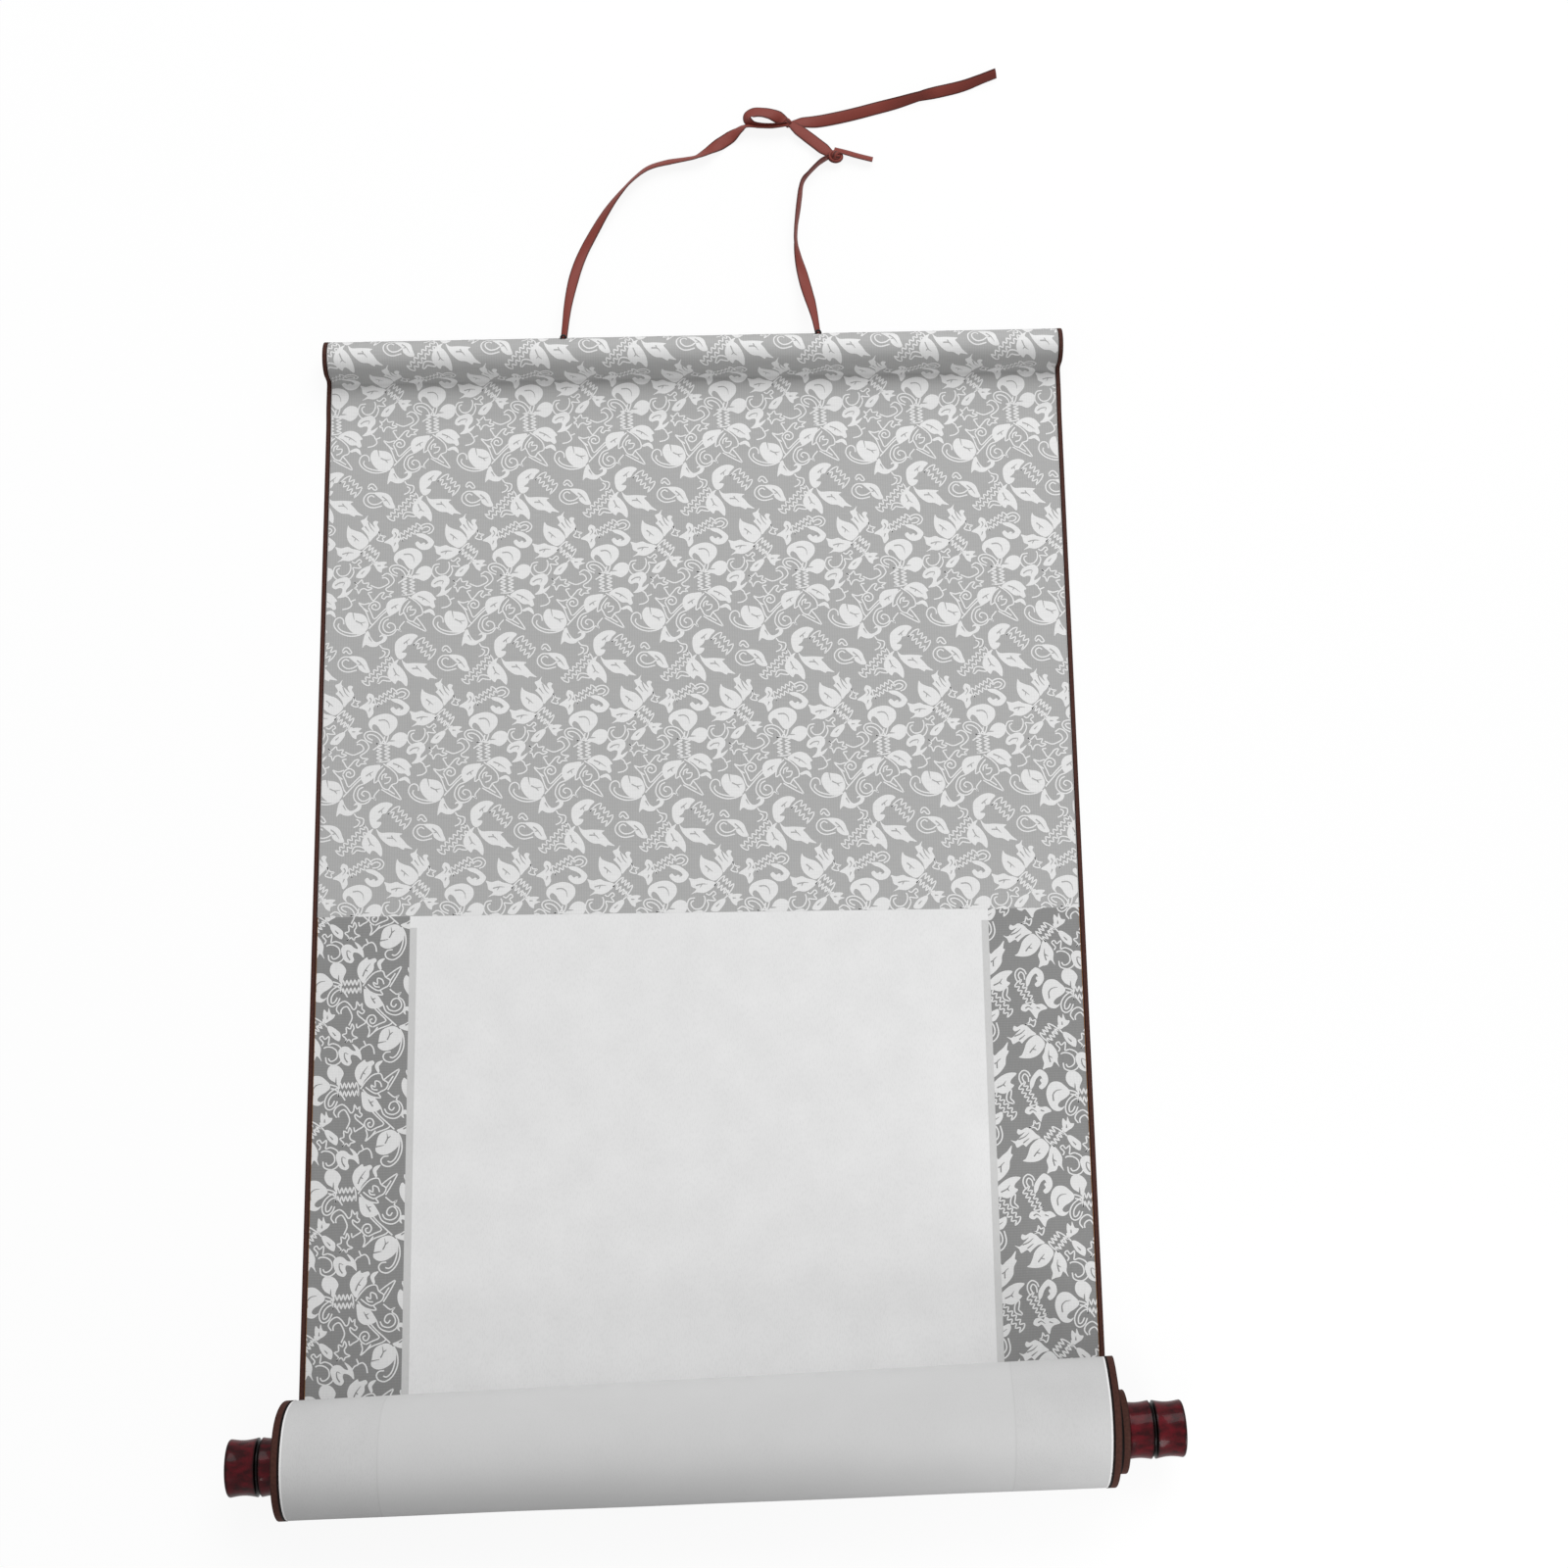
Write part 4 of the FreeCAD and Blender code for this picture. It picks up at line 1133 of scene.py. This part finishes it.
def face_up(piece):
    """Turns every face of an open drawing the way its cloth faces."""
    mesh = piece.data
    uv = np.empty(len(mesh.loops) * 2)
    mesh.uv_layers["Cloth"].data.foreach_get("uv", uv)
    uv = uv.reshape(-1, 3, 2)
    first, second = uv[:, 1] - uv[:, 0], uv[:, 2] - uv[:, 0]
    clockwise = first[:, 0] * second[:, 1] - first[:, 1] * second[:, 0] < 0
    work = bmesh.new()
    work.from_mesh(mesh)
    work.faces.ensure_lookup_table()
    wrong = [work.faces[i] for i in np.nonzero(clockwise)[0]]
    bmesh.ops.reverse_faces(work, faces=wrong)
    work.to_mesh(mesh)
    work.free()


def make_brocade():
    """Both grounds of the cloth and the figure on each."""
    sheet = sheet_sizes()
    tints = colours()
    ground = make_panel()
    # The turned cloth gets darker colours than the upright cloth: painted shade for its weaker sheen
    turned = cloth_material("brocade_ground_turned_painted_shade", tints.ground_turned_painted_shade, turned=True)
    figure = cloth_material("brocade_figure", tints.figure, satin=True)
    figure_turned_painted_shade = cloth_material("brocade_figure_turned_painted_shade", tints.figure_turned_painted_shade, turned=True,
                                   satin=True)
    under_tape = 0.1 * MM
    inner = sheet.width / 2 - sheet.tape_front + under_tape
    half = sheet.picture_width / 2
    make_figure("brocade_figure_top", (-inner, inner, 0.0, panel_length()), None,
                [figure, ground])
    for side, field, corner in (
        ("left", (-inner, -half), LEFT_TURN), ("right", (half, inner), RIGHT_TURN),
    ):
        node = side + "_brocade_strip"
        foot = contact_line(field[0]) - sheet.picture_top
        make_strip(node, field, turned)
        make_figure("brocade_figure_" + side, (*field, foot, 0.0), corner,
                    [figure_turned_painted_shade, turned])


def make_strip(node, field, material):
    """A flat strip of turned cloth beside the picture."""
    edge = edge_reach()
    left, right = (-edge, field[1]) if field[0] < 0 else (field[0], edge)
    piece = facing_slab(node + "_cloth", np.linspace(left, right, 3), BESIDE_PICTURE, LOOSE_TURN)
    finish_piece(piece, material, "grey_brocade", node)


def make_picture():
    """Papers of the blank picture and its margin strips."""
    tints = colours()
    coat_node("picture_paper", paper_material("picture_paper_white", tints.picture))
    margin = paper_material("margin_paper_grey", tints.margin)
    for side in ("left", "right"):
        coat_node(side + "_margin_strip", margin)


def tape_section():
    """The section of the folded tape as (reach from the edge, offset) pairs.

    It runs from the front lip round the edge to the back lip, and back along the sheet.
    """
    sheet = sheet_sizes()
    tape, face, stack = sheet.tape, face_height(), stack_height()
    front, back, round_off = sheet.tape_front, sheet.tape_back, 0.28 * MM
    outside = [(front, stack), (front * 0.5, stack), (round_off, stack),
               (round_off * 0.3, stack - round_off * 0.3), (0.0, stack - round_off),
               (0.0, round_off), (round_off * 0.3, round_off * 0.3), (round_off, 0.0),
               (back * 0.5, 0.0), (back, 0.0)]
    gap = 0.01 * MM
    inside = [(back, tape - gap), (tape, tape - gap), (tape, face + gap), (front, face + gap)]
    return np.array(outside + inside)


def make_edging():
    """The folded tape: its section carried along the whole path of each long edge."""
    sheet = sheet_sizes()
    section = tape_section()
    material = tape_material("brown_edging_tape", colours().tape)
    # The first points are on the face, the next on the back and the last inside the fold
    widths = np.array([sheet.tape_front] * 5 + [-sheet.tape_back] * 5 + [-1.0] * 2 + [1.0] * 2)
    for side, sign in (("left", -1), ("right", 1)):
        edge = sign * sheet.width / 2
        columns = []
        for reach, offset in section:
            x = np.array([edge - sign * reach])
            rows, marks = sheet_rows(x, FLAP, last_stretch(), lambda number, o=offset: o)
            columns.append(rows)
        points = np.concatenate(columns, axis=1)
        rows, count = points.shape[:2]
        faces = grid_faces(rows, count, closed_columns=True)
        caps = [list(range(count))[::-1], [(rows - 1) * count + i for i in range(count)]]
        share = section[:, 0] / widths
        piece = new_piece(side + "_edging_tape", points, faces.tolist() + caps,
                          map_grid(share, marks))
        face_outwards(piece)
        sharpen(piece, 50.0)
        finish_piece(piece, material, "brown_tape", side + "_edging")


# Rods, knobs and staples

def make_rods():
    """The wood of the rods, whose ends show in the fold and inside the roll."""
    wood = wood_material("planed_wood", colours().wood)
    coat_node("top_rod", wood)
    coat_node("roller_rod", wood)


def knob_profile():
    """Places along a knob and its radii.

    From its inner face it has a chamfer, a hollow waist, the ring groove, a second waist, a
    rounded rim and an end face with a slight dome.
    """
    roll = roll_sizes()
    end, bead, groove, long = roll.knob_radius, roll.knob_bead, roll.knob_groove, roll.knob_length
    half_groove, groove_depth, rim = 0.9 * MM, 0.9 * MM, 0.9 * MM
    inner_waist, outer_waist = 0.45 * MM, 0.65 * MM
    chamfer, inner_lip, outer_lip, dome = 0.3 * MM, 0.2 * MM, 0.15 * MM, 0.05 * MM
    share = np.linspace(0.0, 1.0, 12)
    hollow = np.sin(math.pi * share)
    inner_end = groove - half_groove - inner_lip
    outer_start, outer_end = groove + half_groove + outer_lip, long - rim
    parts = [
        [(0.0, 0.0), (0.0, end * 0.6), (0.0, end - chamfer)],
        np.stack([chamfer + (inner_end - chamfer) * share,
                  end + (bead - end) * share - inner_waist * hollow], axis=1),
        np.stack([groove + half_groove * np.cos(math.pi * (1 - share)),
                  bead - groove_depth * hollow ** 1.4], axis=1),
        np.stack([outer_start + (outer_end - outer_start) * share,
                  bead + (end - bead) * share - outer_waist * hollow], axis=1),
        np.stack([outer_end + rim * np.sin(math.pi / 2 * share),
                  end - rim + rim * np.cos(math.pi / 2 * share)], axis=1),
        [(long, end * 0.6), (long + dome, end * 0.25), (long + dome, 0.0)],
    ]
    return np.concatenate([np.asarray(part) for part in parts])


def make_knobs():
    """Each knob is its profile turned about the lower rod's axis.

    Its lacquer is black in the groove and darker at the end face.
    """
    tints = colours()
    roll = roll_sizes()
    groove, dark, clear = roll.knob_groove / roll.knob_length, 0.035, 0.075
    white, black = (1.0, 1.0, 1.0), (0.02, 0.02, 0.02)
    stops = [(groove - clear, white), (groove - dark, black), (groove + dark, black),
             (groove + clear, white), (0.93, white), (0.975, (0.25, 0.25, 0.25))]
    material = lacquer_material("dark_red_lacquer", tints.lacquer,
                                tints.lacquer_worn, stops)
    profile = knob_profile()
    left, right = box_middle("left_knob"), box_middle("right_knob")
    axis = (right - left) / np.linalg.norm(right - left)
    for side, middle, way in (("left", left, -axis), ("right", right, axis)):
        seat = middle - way * roll.knob_length / 2
        points, uv = turn_profile(profile, seat, way)
        rows, columns = points.shape[:2]
        faces = grid_faces(rows, columns, closed_columns=True)
        piece = new_piece(side + "_knob_turning", points, faces, uv)
        face_outwards(piece)
        sharpen(piece, 60.0)
        finish_piece(piece, material, "red_lacquer", side + "_knob")


def box_middle(node):
    """The middle of a CAD node's box."""
    low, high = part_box(node)
    return (np.array(low) + np.array(high)) / 2


def turn_profile(profile, seat, axis):
    """A surface of revolution: seat + along * axis + radius * (cos a * u + sin a * v)."""
    up = np.array([0.0, 0.0, 1.0])
    first = np.cross(axis, up)
    first /= np.linalg.norm(first)
    second = np.cross(axis, first)
    angle = np.linspace(0.0, 2 * math.pi, 96, endpoint=False)
    ring = np.cos(angle)[:, None] * first + np.sin(angle)[:, None] * second
    points = (seat + profile[:, None, :1] * axis) + profile[:, None, 1:] * ring[None]
    share = profile[:, :1] / profile[:, 0].max()
    uv = np.stack(np.broadcast_arrays(share, angle[None, :]), axis=-1)
    return points, uv


def make_staples():
    """The enamel of the wire staples."""
    wire = wire_material("black_wire_enamel")
    for side in ("left", "right"):
        coat_node(side + "_staple", wire)


# The ribbon
# Routes are in millimetres, X from the sheet's middle and Y from the top rod's axis, each with
# the ribbon's lean about its path in degrees: 0 lies flat, 90 stands on edge. No point of the
# ribbon comes lower than LOWEST.

LEFT_ROUTE = [
    (-58.3, 4.6, 12.5, -15), (-57.4, 13.2, 12.5, -20), (-56.7, 23.4, 9.0, -10),
    (-54.9, 36.4, 4.5, 10), (-52.8, 45.8, 1.8, 0), (-50.0, 53.6, 0.8, -10),
    (-45.9, 61.5, 1.3, -25), (-41.2, 70.0, 2.1, -40), (-36.5, 77.3, 2.7, -50),
    (-30.7, 84.6, 2.9, -60), (-25.5, 90.0, 2.7, -55), (-20.0, 94.4, 2.4, -45),
    (-11.1, 96.8, 2.3, -40), (-4.2, 97.9, 2.4, -45), (2.0, 98.9, 2.7, -50),
    (7.1, 102.4, 1.7, -30), (12.7, 106.6, 0.6, 5), (17.4, 109.9, 0.6, 0),
    (21.1, 112.4, 2.0, -35), (24.3, 114.8, 2.6, -50), (30.5, 114.2, 3.2, -45),
    (37.5, 114.1, 3.2, -45), (44.0, 115.0, 3.2, -45),
]
RIGHT_ROUTE = [
    (55.5, 6.2, 12.5, 20), (54.7, 12.2, 12.5, 20), (53.0, 22.5, 9.0, 10),
    (50.8, 32.8, 5.0, 5), (49.2, 41.4, 2.5, 25), (47.6, 48.8, 2.5, 50),
    (46.7, 55.4, 3.1, 70), (46.5, 59.4, 3.3, 75), (47.0, 65.8, 3.2, 75),
    (48.1, 73.3, 3.2, 70), (49.0, 80.3, 3.1, 70), (50.0, 86.2, 3.3, 80),
    (52.5, 89.5, 3.3, 90), (55.9, 93.4, 3.3, 90), (59.3, 96.7, 3.3, 90),
    (62.4, 98.2, 3.3, 95),
]
TAIL_ROUTE = [
    (45.3, 115.9, 1.8, -30), (50.8, 117.3, 0.6, -5), (57.0, 117.3, 0.7, 10),
    (65.4, 118.6, 1.3, 20), (75.2, 120.9, 1.4, 25), (86.4, 124.0, 1.6, 25),
    (94.7, 125.9, 2.2, 45), (105.3, 129.1, 2.9, 65), (114.5, 131.8, 1.7, 30),
    (125.7, 134.2, 2.3, 45), (134.2, 137.7, 2.6, 60), (141.3, 140.6, 2.7, 60),
]
LOOP_ROUTE = [
    (44.0, 115.7, 3.0, 15), (40.6, 117.9, 3.4, -25), (36.4, 120.1, 3.4, 5),
    (32.3, 121.0, 3.4, 15), (28.4, 121.1, 3.4, 15), (25.6, 119.5, 3.4, 25),
    (25.3, 116.8, 3.4, 60), (28.3, 114.7, 3.4, 90), (32.2, 114.2, 3.4, 95),
    (37.5, 114.0, 3.4, 95), (43.7, 115.0, 3.2, 90),
]
LINK_ROUTE = [
    (45.1, 115.2, 3.4, -10), (48.8, 112.2, 3.0, -10), (54.0, 108.4, 2.0, -5),
    (58.8, 104.3, 2.0, -5), (63.8, 99.6, 2.8, 0),
]
SHORT_TAIL_ROUTE = [
    (65.2, 102.4, 2.6, -30), (70.5, 101.0, 2.4, -35), (76.0, 99.3, 2.0, -35),
    (82.9, 97.7, 1.6, -35),
]
LOWEST = 0.1 * MM
BOW_KNOT = (44.0, 115.8, 2.8)
END_KNOT = (65.6, 98.7, 2.8)


def ribbon_points(route):
    """A route from millimetres at the rod to metres at the origin."""
    home_x, home_y = home_shift()
    shift = np.array([-home_x, sheet_sizes().flat_length - home_y, 0.0])
    return np.array(route) * MM + shift


def smooth_path(name, control):
    """Points along a smooth spline with the given control points."""
    curve = bpy.data.curves.new(name + "_line", "CURVE")
    curve.dimensions = "3D"
    spline = curve.splines.new("NURBS")
    spline.points.add(len(control) - 1)
    spline.points.foreach_set("co", np.append(control, np.ones((len(control), 1)), axis=1).ravel())
    spline.order_u = 3
    spline.use_endpoint_u = True
    spline.resolution_u = 10
    guide = bpy.data.objects.new(name + "_line", curve)
    bpy.context.scene.collection.objects.link(guide)
    bpy.context.view_layer.update()
    mesh = bpy.data.meshes.new_from_object(guide.evaluated_get(
        bpy.context.evaluated_depsgraph_get()))
    points = np.empty(len(mesh.vertices) * 3)
    mesh.vertices.foreach_get("co", points)
    bpy.data.objects.remove(guide)
    bpy.data.curves.remove(curve)
    bpy.data.meshes.remove(mesh)
    return points.reshape(-1, 3)


def ribbon_strip(name, route, widths):
    """A flat ribbon along a smooth path.

    At each point of the path a flat section is set across it: place * width / 2 along its width
    and half the thickness along its normal, both turned about the path by the route's lean. The
    lean at a route point is reached halfway between the spline's knots. The section is thinner
    at its rims and cupped by a twentieth of the ribbon's width. The width is given as (share of
    the length, share of the ribbon's width) stops.
    """
    ribbon = bpy.context.scene.scroll_ribbon
    stops = np.array(route, dtype=float)
    path = smooth_path(name, ribbon_points(stops[:, :3]))
    spans = len(stops) - 2
    reached = np.clip(np.arange(len(stops)) - 0.5, 0.0, spans)
    lean = np.interp(np.linspace(0.0, spans, len(path)), reached, stops[:, 3])
    step = np.linalg.norm(np.diff(path, axis=0), axis=1)
    along = np.concatenate([[0.0], np.cumsum(step)])
    share = along / along[-1]
    run = np.gradient(path, axis=0)
    run /= np.linalg.norm(run, axis=1, keepdims=True)
    level = np.cross(np.array([0.0, 0.0, 1.0]), run)
    level /= np.linalg.norm(level, axis=1, keepdims=True)
    above = np.cross(run, level)
    tilt = np.radians(lean)[:, None]
    wide = np.cos(tilt) * level + np.sin(tilt) * above
    normal = np.cos(tilt) * above - np.sin(tilt) * level
    width = np.interp(share, *zip(*widths))[:, None, None] * ribbon.width / 2
    place = np.linspace(-1.0, 1.0, 9)
    thin = ribbon.thickness / 2 * np.sqrt(np.maximum(0.12, 1 - 0.8 * place ** 8))
    cup = 0.05 * (1 - place ** 2)
    around = np.concatenate([place, place[::-1]])
    rise = np.concatenate([thin, -thin[::-1]]) + np.concatenate([cup, cup[::-1]]) * ribbon.width
    points = (path[:, None] + wide[:, None] * around[None, :, None] * width
              + normal[:, None] * rise[None, :, None])
    points[..., 2] = np.maximum(points[..., 2], LOWEST)
    rows, columns = points.shape[:2]
    uv = map_grid((around + 1) / 2, along)
    piece = new_piece(name, points, band_faces(rows, columns), uv)
    face_outwards(piece)
    sharpen(piece, 60.0)
    return piece, path, along[-1]


def knot_piece(name, place, turns):
    """A pulled knot: bands wound as flattened rings that cross each other.

    Each ring is a torus centre + (R + r cos b) (cos a, sin a) in its own tilted plane with its
    tube flattened. The turns give each ring's tilt and direction in degrees, R and r in
    millimetres, and how much wider than r its band is.
    """
    centre = ribbon_points([place])[0]
    rows, columns, squash = 40, 16, 0.85
    a = np.linspace(0.0, 2 * math.pi, rows, endpoint=False)[:, None]
    b = np.linspace(0.0, 2 * math.pi, columns, endpoint=False)[None, :]
    all_points, all_faces, all_uv = [], [], []
    for number, (lean, way, ring, tube, wide) in enumerate(turns):
        radius = (ring + tube * np.cos(b)) * MM
        local = np.stack(np.broadcast_arrays(radius * np.cos(a), radius * np.sin(a) * squash,
                                             tube * wide * np.sin(b) * MM), axis=-1)
        turn = (Matrix.Rotation(math.radians(way), 3, "Z")
                @ Matrix.Rotation(math.radians(lean), 3, "Y"))
        points = local @ np.array(turn).T + centre
        points[..., 2] = np.maximum(points[..., 2], LOWEST)
        all_points.append(points.reshape(-1, 3))
        all_faces.append(grid_faces(rows, columns, True, True, first=number * rows * columns))
        uv = np.stack(np.broadcast_arrays(b / (2 * math.pi), a * ring * MM), axis=-1)
        all_uv.append(uv.reshape(-1, 2))
    piece = new_piece(name, np.concatenate(all_points), np.concatenate(all_faces),
                      np.concatenate(all_uv))
    face_outwards(piece)
    return piece


def make_ribbon():
    """All stretches of the ribbon, its bow and its knot."""
    tints = colours()
    ribbon = bpy.context.scene.scroll_ribbon
    satin = ribbon_material("brown_satin", tints.ribbon, tints.ribbon_edge,
                            ribbon.selvedge)
    slot = "brown_ribbon"
    bow = knot_piece("bow_knot_turns", BOW_KNOT, [
        (78, 40, 1.5, 0.75, 2.2), (64, 130, 1.4, 0.7, 2.0), (20, 10, 1.3, 0.7, 1.3)])
    end = knot_piece("end_knot_turns", END_KNOT, [
        (70, -30, 2.1, 0.8, 2.0), (55, 70, 1.9, 0.8, 1.8), (12, 10, 2.9, 0.9, 1.2)])
    finish_piece(bow, satin, slot, "bow_knot")
    finish_piece(end, satin, slot, "end_knot")
    link = ribbon_strip("knot_link_band", LINK_ROUTE,
                        [(0, 0.6), (0.2, 1.0), (0.8, 1.0), (1, 0.6)])[0]
    finish_piece(link, satin, slot, "knot_link")
    short = ribbon_strip("short_tail_band", SHORT_TAIL_ROUTE, [(0, 0.6), (0.3, 0.8), (1, 0.8)])[0]
    finish_piece(short, satin, slot, "ribbon_short_tail")
    stretches = [
        ("ribbon_left", LEFT_ROUTE,
         [(0, 0.5), (0.08, 0.6), (0.2, 0.78), (0.3, 0.78), (0.42, 1.0), (1, 1.0)],
         "knot", [bow]),
        ("ribbon_right", RIGHT_ROUTE,
         [(0, 0.42), (0.08, 0.55), (0.2, 0.8), (0.35, 0.9), (0.5, 1.0), (1, 1.0)],
         "knot", [end, link, short]),
        ("ribbon_tail", TAIL_ROUTE, [(0, 0.6), (0.06, 0.9), (0.12, 0.95), (1, 0.9)], "bare", []),
        ("bow_loop", LOOP_ROUTE, [(0, 0.6), (0.12, 0.95), (0.85, 0.95), (1, 0.6)], "knot", []),
    ]
    for node, route, widths, far_end, with_pieces in stretches:
        piece, path, long = ribbon_strip(node + "_satin", route, widths)
        finish_piece(piece, satin, slot, node)


# The stage

CAMERA_PLACE = (0.01275, -0.17474, 0.9813)
CAMERA_TURN = ((0.99968, 0.01236, -0.02226), (-0.01696, 0.97532, -0.22013),
               (0.01899, 0.22044, 0.97522))
FLOOR_HALF = 4.0
FLOOR_GREY = 0.1
FLOOR_GLOW = 0.9
FLOOR_DROP = 0.2 * MM


def make_camera():
    """The camera at the viewpoint over the near side of the picture."""
    camera = bpy.data.objects.new("Camera", bpy.data.cameras.new("Camera"))
    bpy.context.scene.collection.objects.link(camera)
    camera.matrix_world = Matrix.Translation(CAMERA_PLACE) @ Matrix(CAMERA_TURN).to_4x4()
    camera.data.lens = bpy.context.scene.scroll_stage.lens
    camera.data.sensor_width = 36.0
    camera.data.clip_start = 0.01
    bpy.context.scene.camera = camera


def seen_directly(tree):
    """A socket that is 1 for what is seen directly, in a reflection or through glass."""
    light_path = tree.nodes.new("ShaderNodeLightPath")
    total = light_path.outputs["Is Camera Ray"]
    for name in ("Is Glossy Ray", "Is Transmission Ray"):
        add = tree.nodes.new("ShaderNodeMath")
        add.operation = "MAXIMUM"
        tree.links.new(total, add.inputs[0])
        tree.links.new(light_path.outputs[name], add.inputs[1])
        total = add.outputs[0]
    return total


def make_world():
    """A white surround that lights the scroll evenly at the sky's own strength."""
    world = bpy.data.worlds.new("SoftSurround")
    world.use_nodes = True
    bpy.context.scene.world = world
    tree = world.node_tree
    background = tree.nodes["Background"]
    background.inputs["Color"].default_value = (1.0, 1.0, 1.0, 1.0)
    strength = tree.nodes.new("ShaderNodeMapRange")
    strength.inputs["To Min"].default_value = bpy.context.scene.scroll_stage.sky
    strength.inputs["To Max"].default_value = 1.0
    tree.links.new(seen_directly(tree), strength.inputs["Value"])
    tree.links.new(strength.outputs["Result"], background.inputs["Strength"])


def make_floor():
    """A plain white floor that keeps the scroll's soft shadow."""
    corners = [(x * FLOOR_HALF, y * FLOOR_HALF, 0.0) for x, y in ((-1, -1), (1, -1), (1, 1), (-1, 1))]
    floor = new_piece("floor", corners, [[0, 1, 2, 3]], smooth=False)
    material = bpy.data.materials.new("white_floor")
    material.use_nodes = True
    tree = material.node_tree
    shader = tree.nodes["Principled BSDF"]
    shader.inputs["Base Color"].default_value = (FLOOR_GREY,) * 3 + (1.0,)
    shader.inputs["Roughness"].default_value = 1.0
    shader.inputs["Specular IOR Level"].default_value = 0.0
    shader.inputs["Emission Color"].default_value = (1.0, 1.0, 1.0, 1.0)
    lift = tree.nodes.new("ShaderNodeMath")
    lift.operation = "MULTIPLY"
    lift.inputs[1].default_value = FLOOR_GLOW
    tree.links.new(seen_directly(tree), lift.inputs[0])
    tree.links.new(lift.outputs[0], shader.inputs["Emission Strength"])
    floor.data.materials.append(material)
    floor.location.z = -FLOOR_DROP


def make_light(name, place, aim, size, energy):
    """A square area light that points at a place."""
    lamp = bpy.data.lights.new(name, "AREA")
    lamp.shape = "SQUARE"
    lamp.size = size
    lamp.energy = energy
    light = bpy.data.objects.new(name, lamp)
    bpy.context.scene.collection.objects.link(light)
    away = np.array(place) - np.array(aim)
    away /= np.linalg.norm(away)
    side = np.cross(np.array([0.0, 0.0, 1.0]), away)
    side /= np.linalg.norm(side)
    up = np.cross(away, side)
    turn = Matrix([side, up, away]).transposed().to_4x4()
    light.matrix_world = Matrix.Translation(place) @ turn


def make_stage():
    """The camera, the surround, the floor and three lights: from above, in front and beside."""
    make_camera()
    make_world()
    make_floor()
    key_energy = bpy.context.scene.scroll_stage.key_energy
    make_light("GlintLight", (-0.02, -0.85, 0.62), (0.0, -0.2, 0.03), 0.13, 0.5)
    make_light("KeyLight", (0.35, 1.25, 1.35), (0.0, 0.0, 0.0), 1.3, key_energy)
    make_light("SideLight", (0.33, -0.4, 0.13), (0.17, -0.2, 0.03), 0.12, 0.4)
    bpy.context.scene.view_settings.view_transform = "Standard"


# Operators and panel

class SCROLL_OT_ribbon(bpy.types.Operator):
    """Make the hanging ribbon with its bow and its knot"""
    bl_idname = "scroll.ribbon"
    bl_label = "Hanging ribbon"

    def execute(self, context):
        make_ribbon()
        return {"FINISHED"}


class SCROLL_OT_backing(bpy.types.Operator):
    """Make the white backing and the roll's turns"""
    bl_idname = "scroll.backing"
    bl_label = "Backing and roll"

    def execute(self, context):
        make_backing()
        return {"FINISHED"}


class SCROLL_OT_brocade(bpy.types.Operator):
    """Make the figured cloth round the picture"""
    bl_idname = "scroll.brocade"
    bl_label = "Figured cloth"

    def execute(self, context):
        make_brocade()
        return {"FINISHED"}


class SCROLL_OT_picture(bpy.types.Operator):
    """Finish the blank picture and its margin strips"""
    bl_idname = "scroll.picture"
    bl_label = "Picture and margins"

    def execute(self, context):
        make_picture()
        return {"FINISHED"}


class SCROLL_OT_edging(bpy.types.Operator):
    """Make the brown tape folded round both long edges"""
    bl_idname = "scroll.edging"
    bl_label = "Edging tape"

    def execute(self, context):
        make_edging()
        return {"FINISHED"}


class SCROLL_OT_rods(bpy.types.Operator):
    """Finish the wood of both rods"""
    bl_idname = "scroll.rods"
    bl_label = "Rods"

    def execute(self, context):
        make_rods()
        return {"FINISHED"}


class SCROLL_OT_knobs(bpy.types.Operator):
    """Make the two lacquered knobs"""
    bl_idname = "scroll.knobs"
    bl_label = "Knobs"

    def execute(self, context):
        make_knobs()
        return {"FINISHED"}


class SCROLL_OT_staples(bpy.types.Operator):
    """Finish the two wire staples"""
    bl_idname = "scroll.staples"
    bl_label = "Staples"

    def execute(self, context):
        make_staples()
        return {"FINISHED"}


class SCROLL_OT_stage(bpy.types.Operator):
    """Make the camera, the soft light and the floor"""
    bl_idname = "scroll.stage"
    bl_label = "Stage"

    def execute(self, context):
        make_stage()
        return {"FINISHED"}


OPERATORS = [
    SCROLL_OT_stage, SCROLL_OT_ribbon, SCROLL_OT_backing, SCROLL_OT_brocade, SCROLL_OT_picture,
    SCROLL_OT_edging, SCROLL_OT_rods, SCROLL_OT_knobs, SCROLL_OT_staples,
]
GROUPS = {
    "scroll_sheet": ScrollSheetSizes,
    "scroll_roll": ScrollRollSizes,
    "scroll_ribbon": ScrollRibbonSizes,
    "scroll_colours": ScrollColours,
    "scroll_stage": ScrollStageSizes,
}


class SCROLL_PT_panel(bpy.types.Panel):
    """Lists the scroll's sizes, colours and pieces"""
    bl_label = "Scroll"
    bl_idname = "SCROLL_PT_panel"
    bl_space_type = "VIEW_3D"
    bl_region_type = "UI"
    bl_category = "Scroll"

    def draw(self, context):
        for group in GROUPS:
            box = self.layout.box()
            values = getattr(context.scene, group)
            for name in values.__annotations__:
                box.prop(values, name)
        for operator in OPERATORS:
            self.layout.operator(operator.bl_idname)


def register():
    """Adds the operators and the panel, and puts the groups on the scene."""
    for kind in (*GROUPS.values(), *OPERATORS, SCROLL_PT_panel):
        bpy.utils.register_class(kind)
    for name, kind in GROUPS.items():
        setattr(bpy.types.Scene, name, bpy.props.PointerProperty(type=kind))


def unregister():
    """Takes away all that register has added."""
    for name in GROUPS:
        delattr(bpy.types.Scene, name)
    for kind in reversed((*GROUPS.values(), *OPERATORS, SCROLL_PT_panel)):
        bpy.utils.unregister_class(kind)


def main():
    """Builds every piece and the stage."""
    register()
    for operator in OPERATORS:
        family, name = operator.bl_idname.split(".")
        getattr(getattr(bpy.ops, family), name)()


if __name__ == "__main__":
    main()
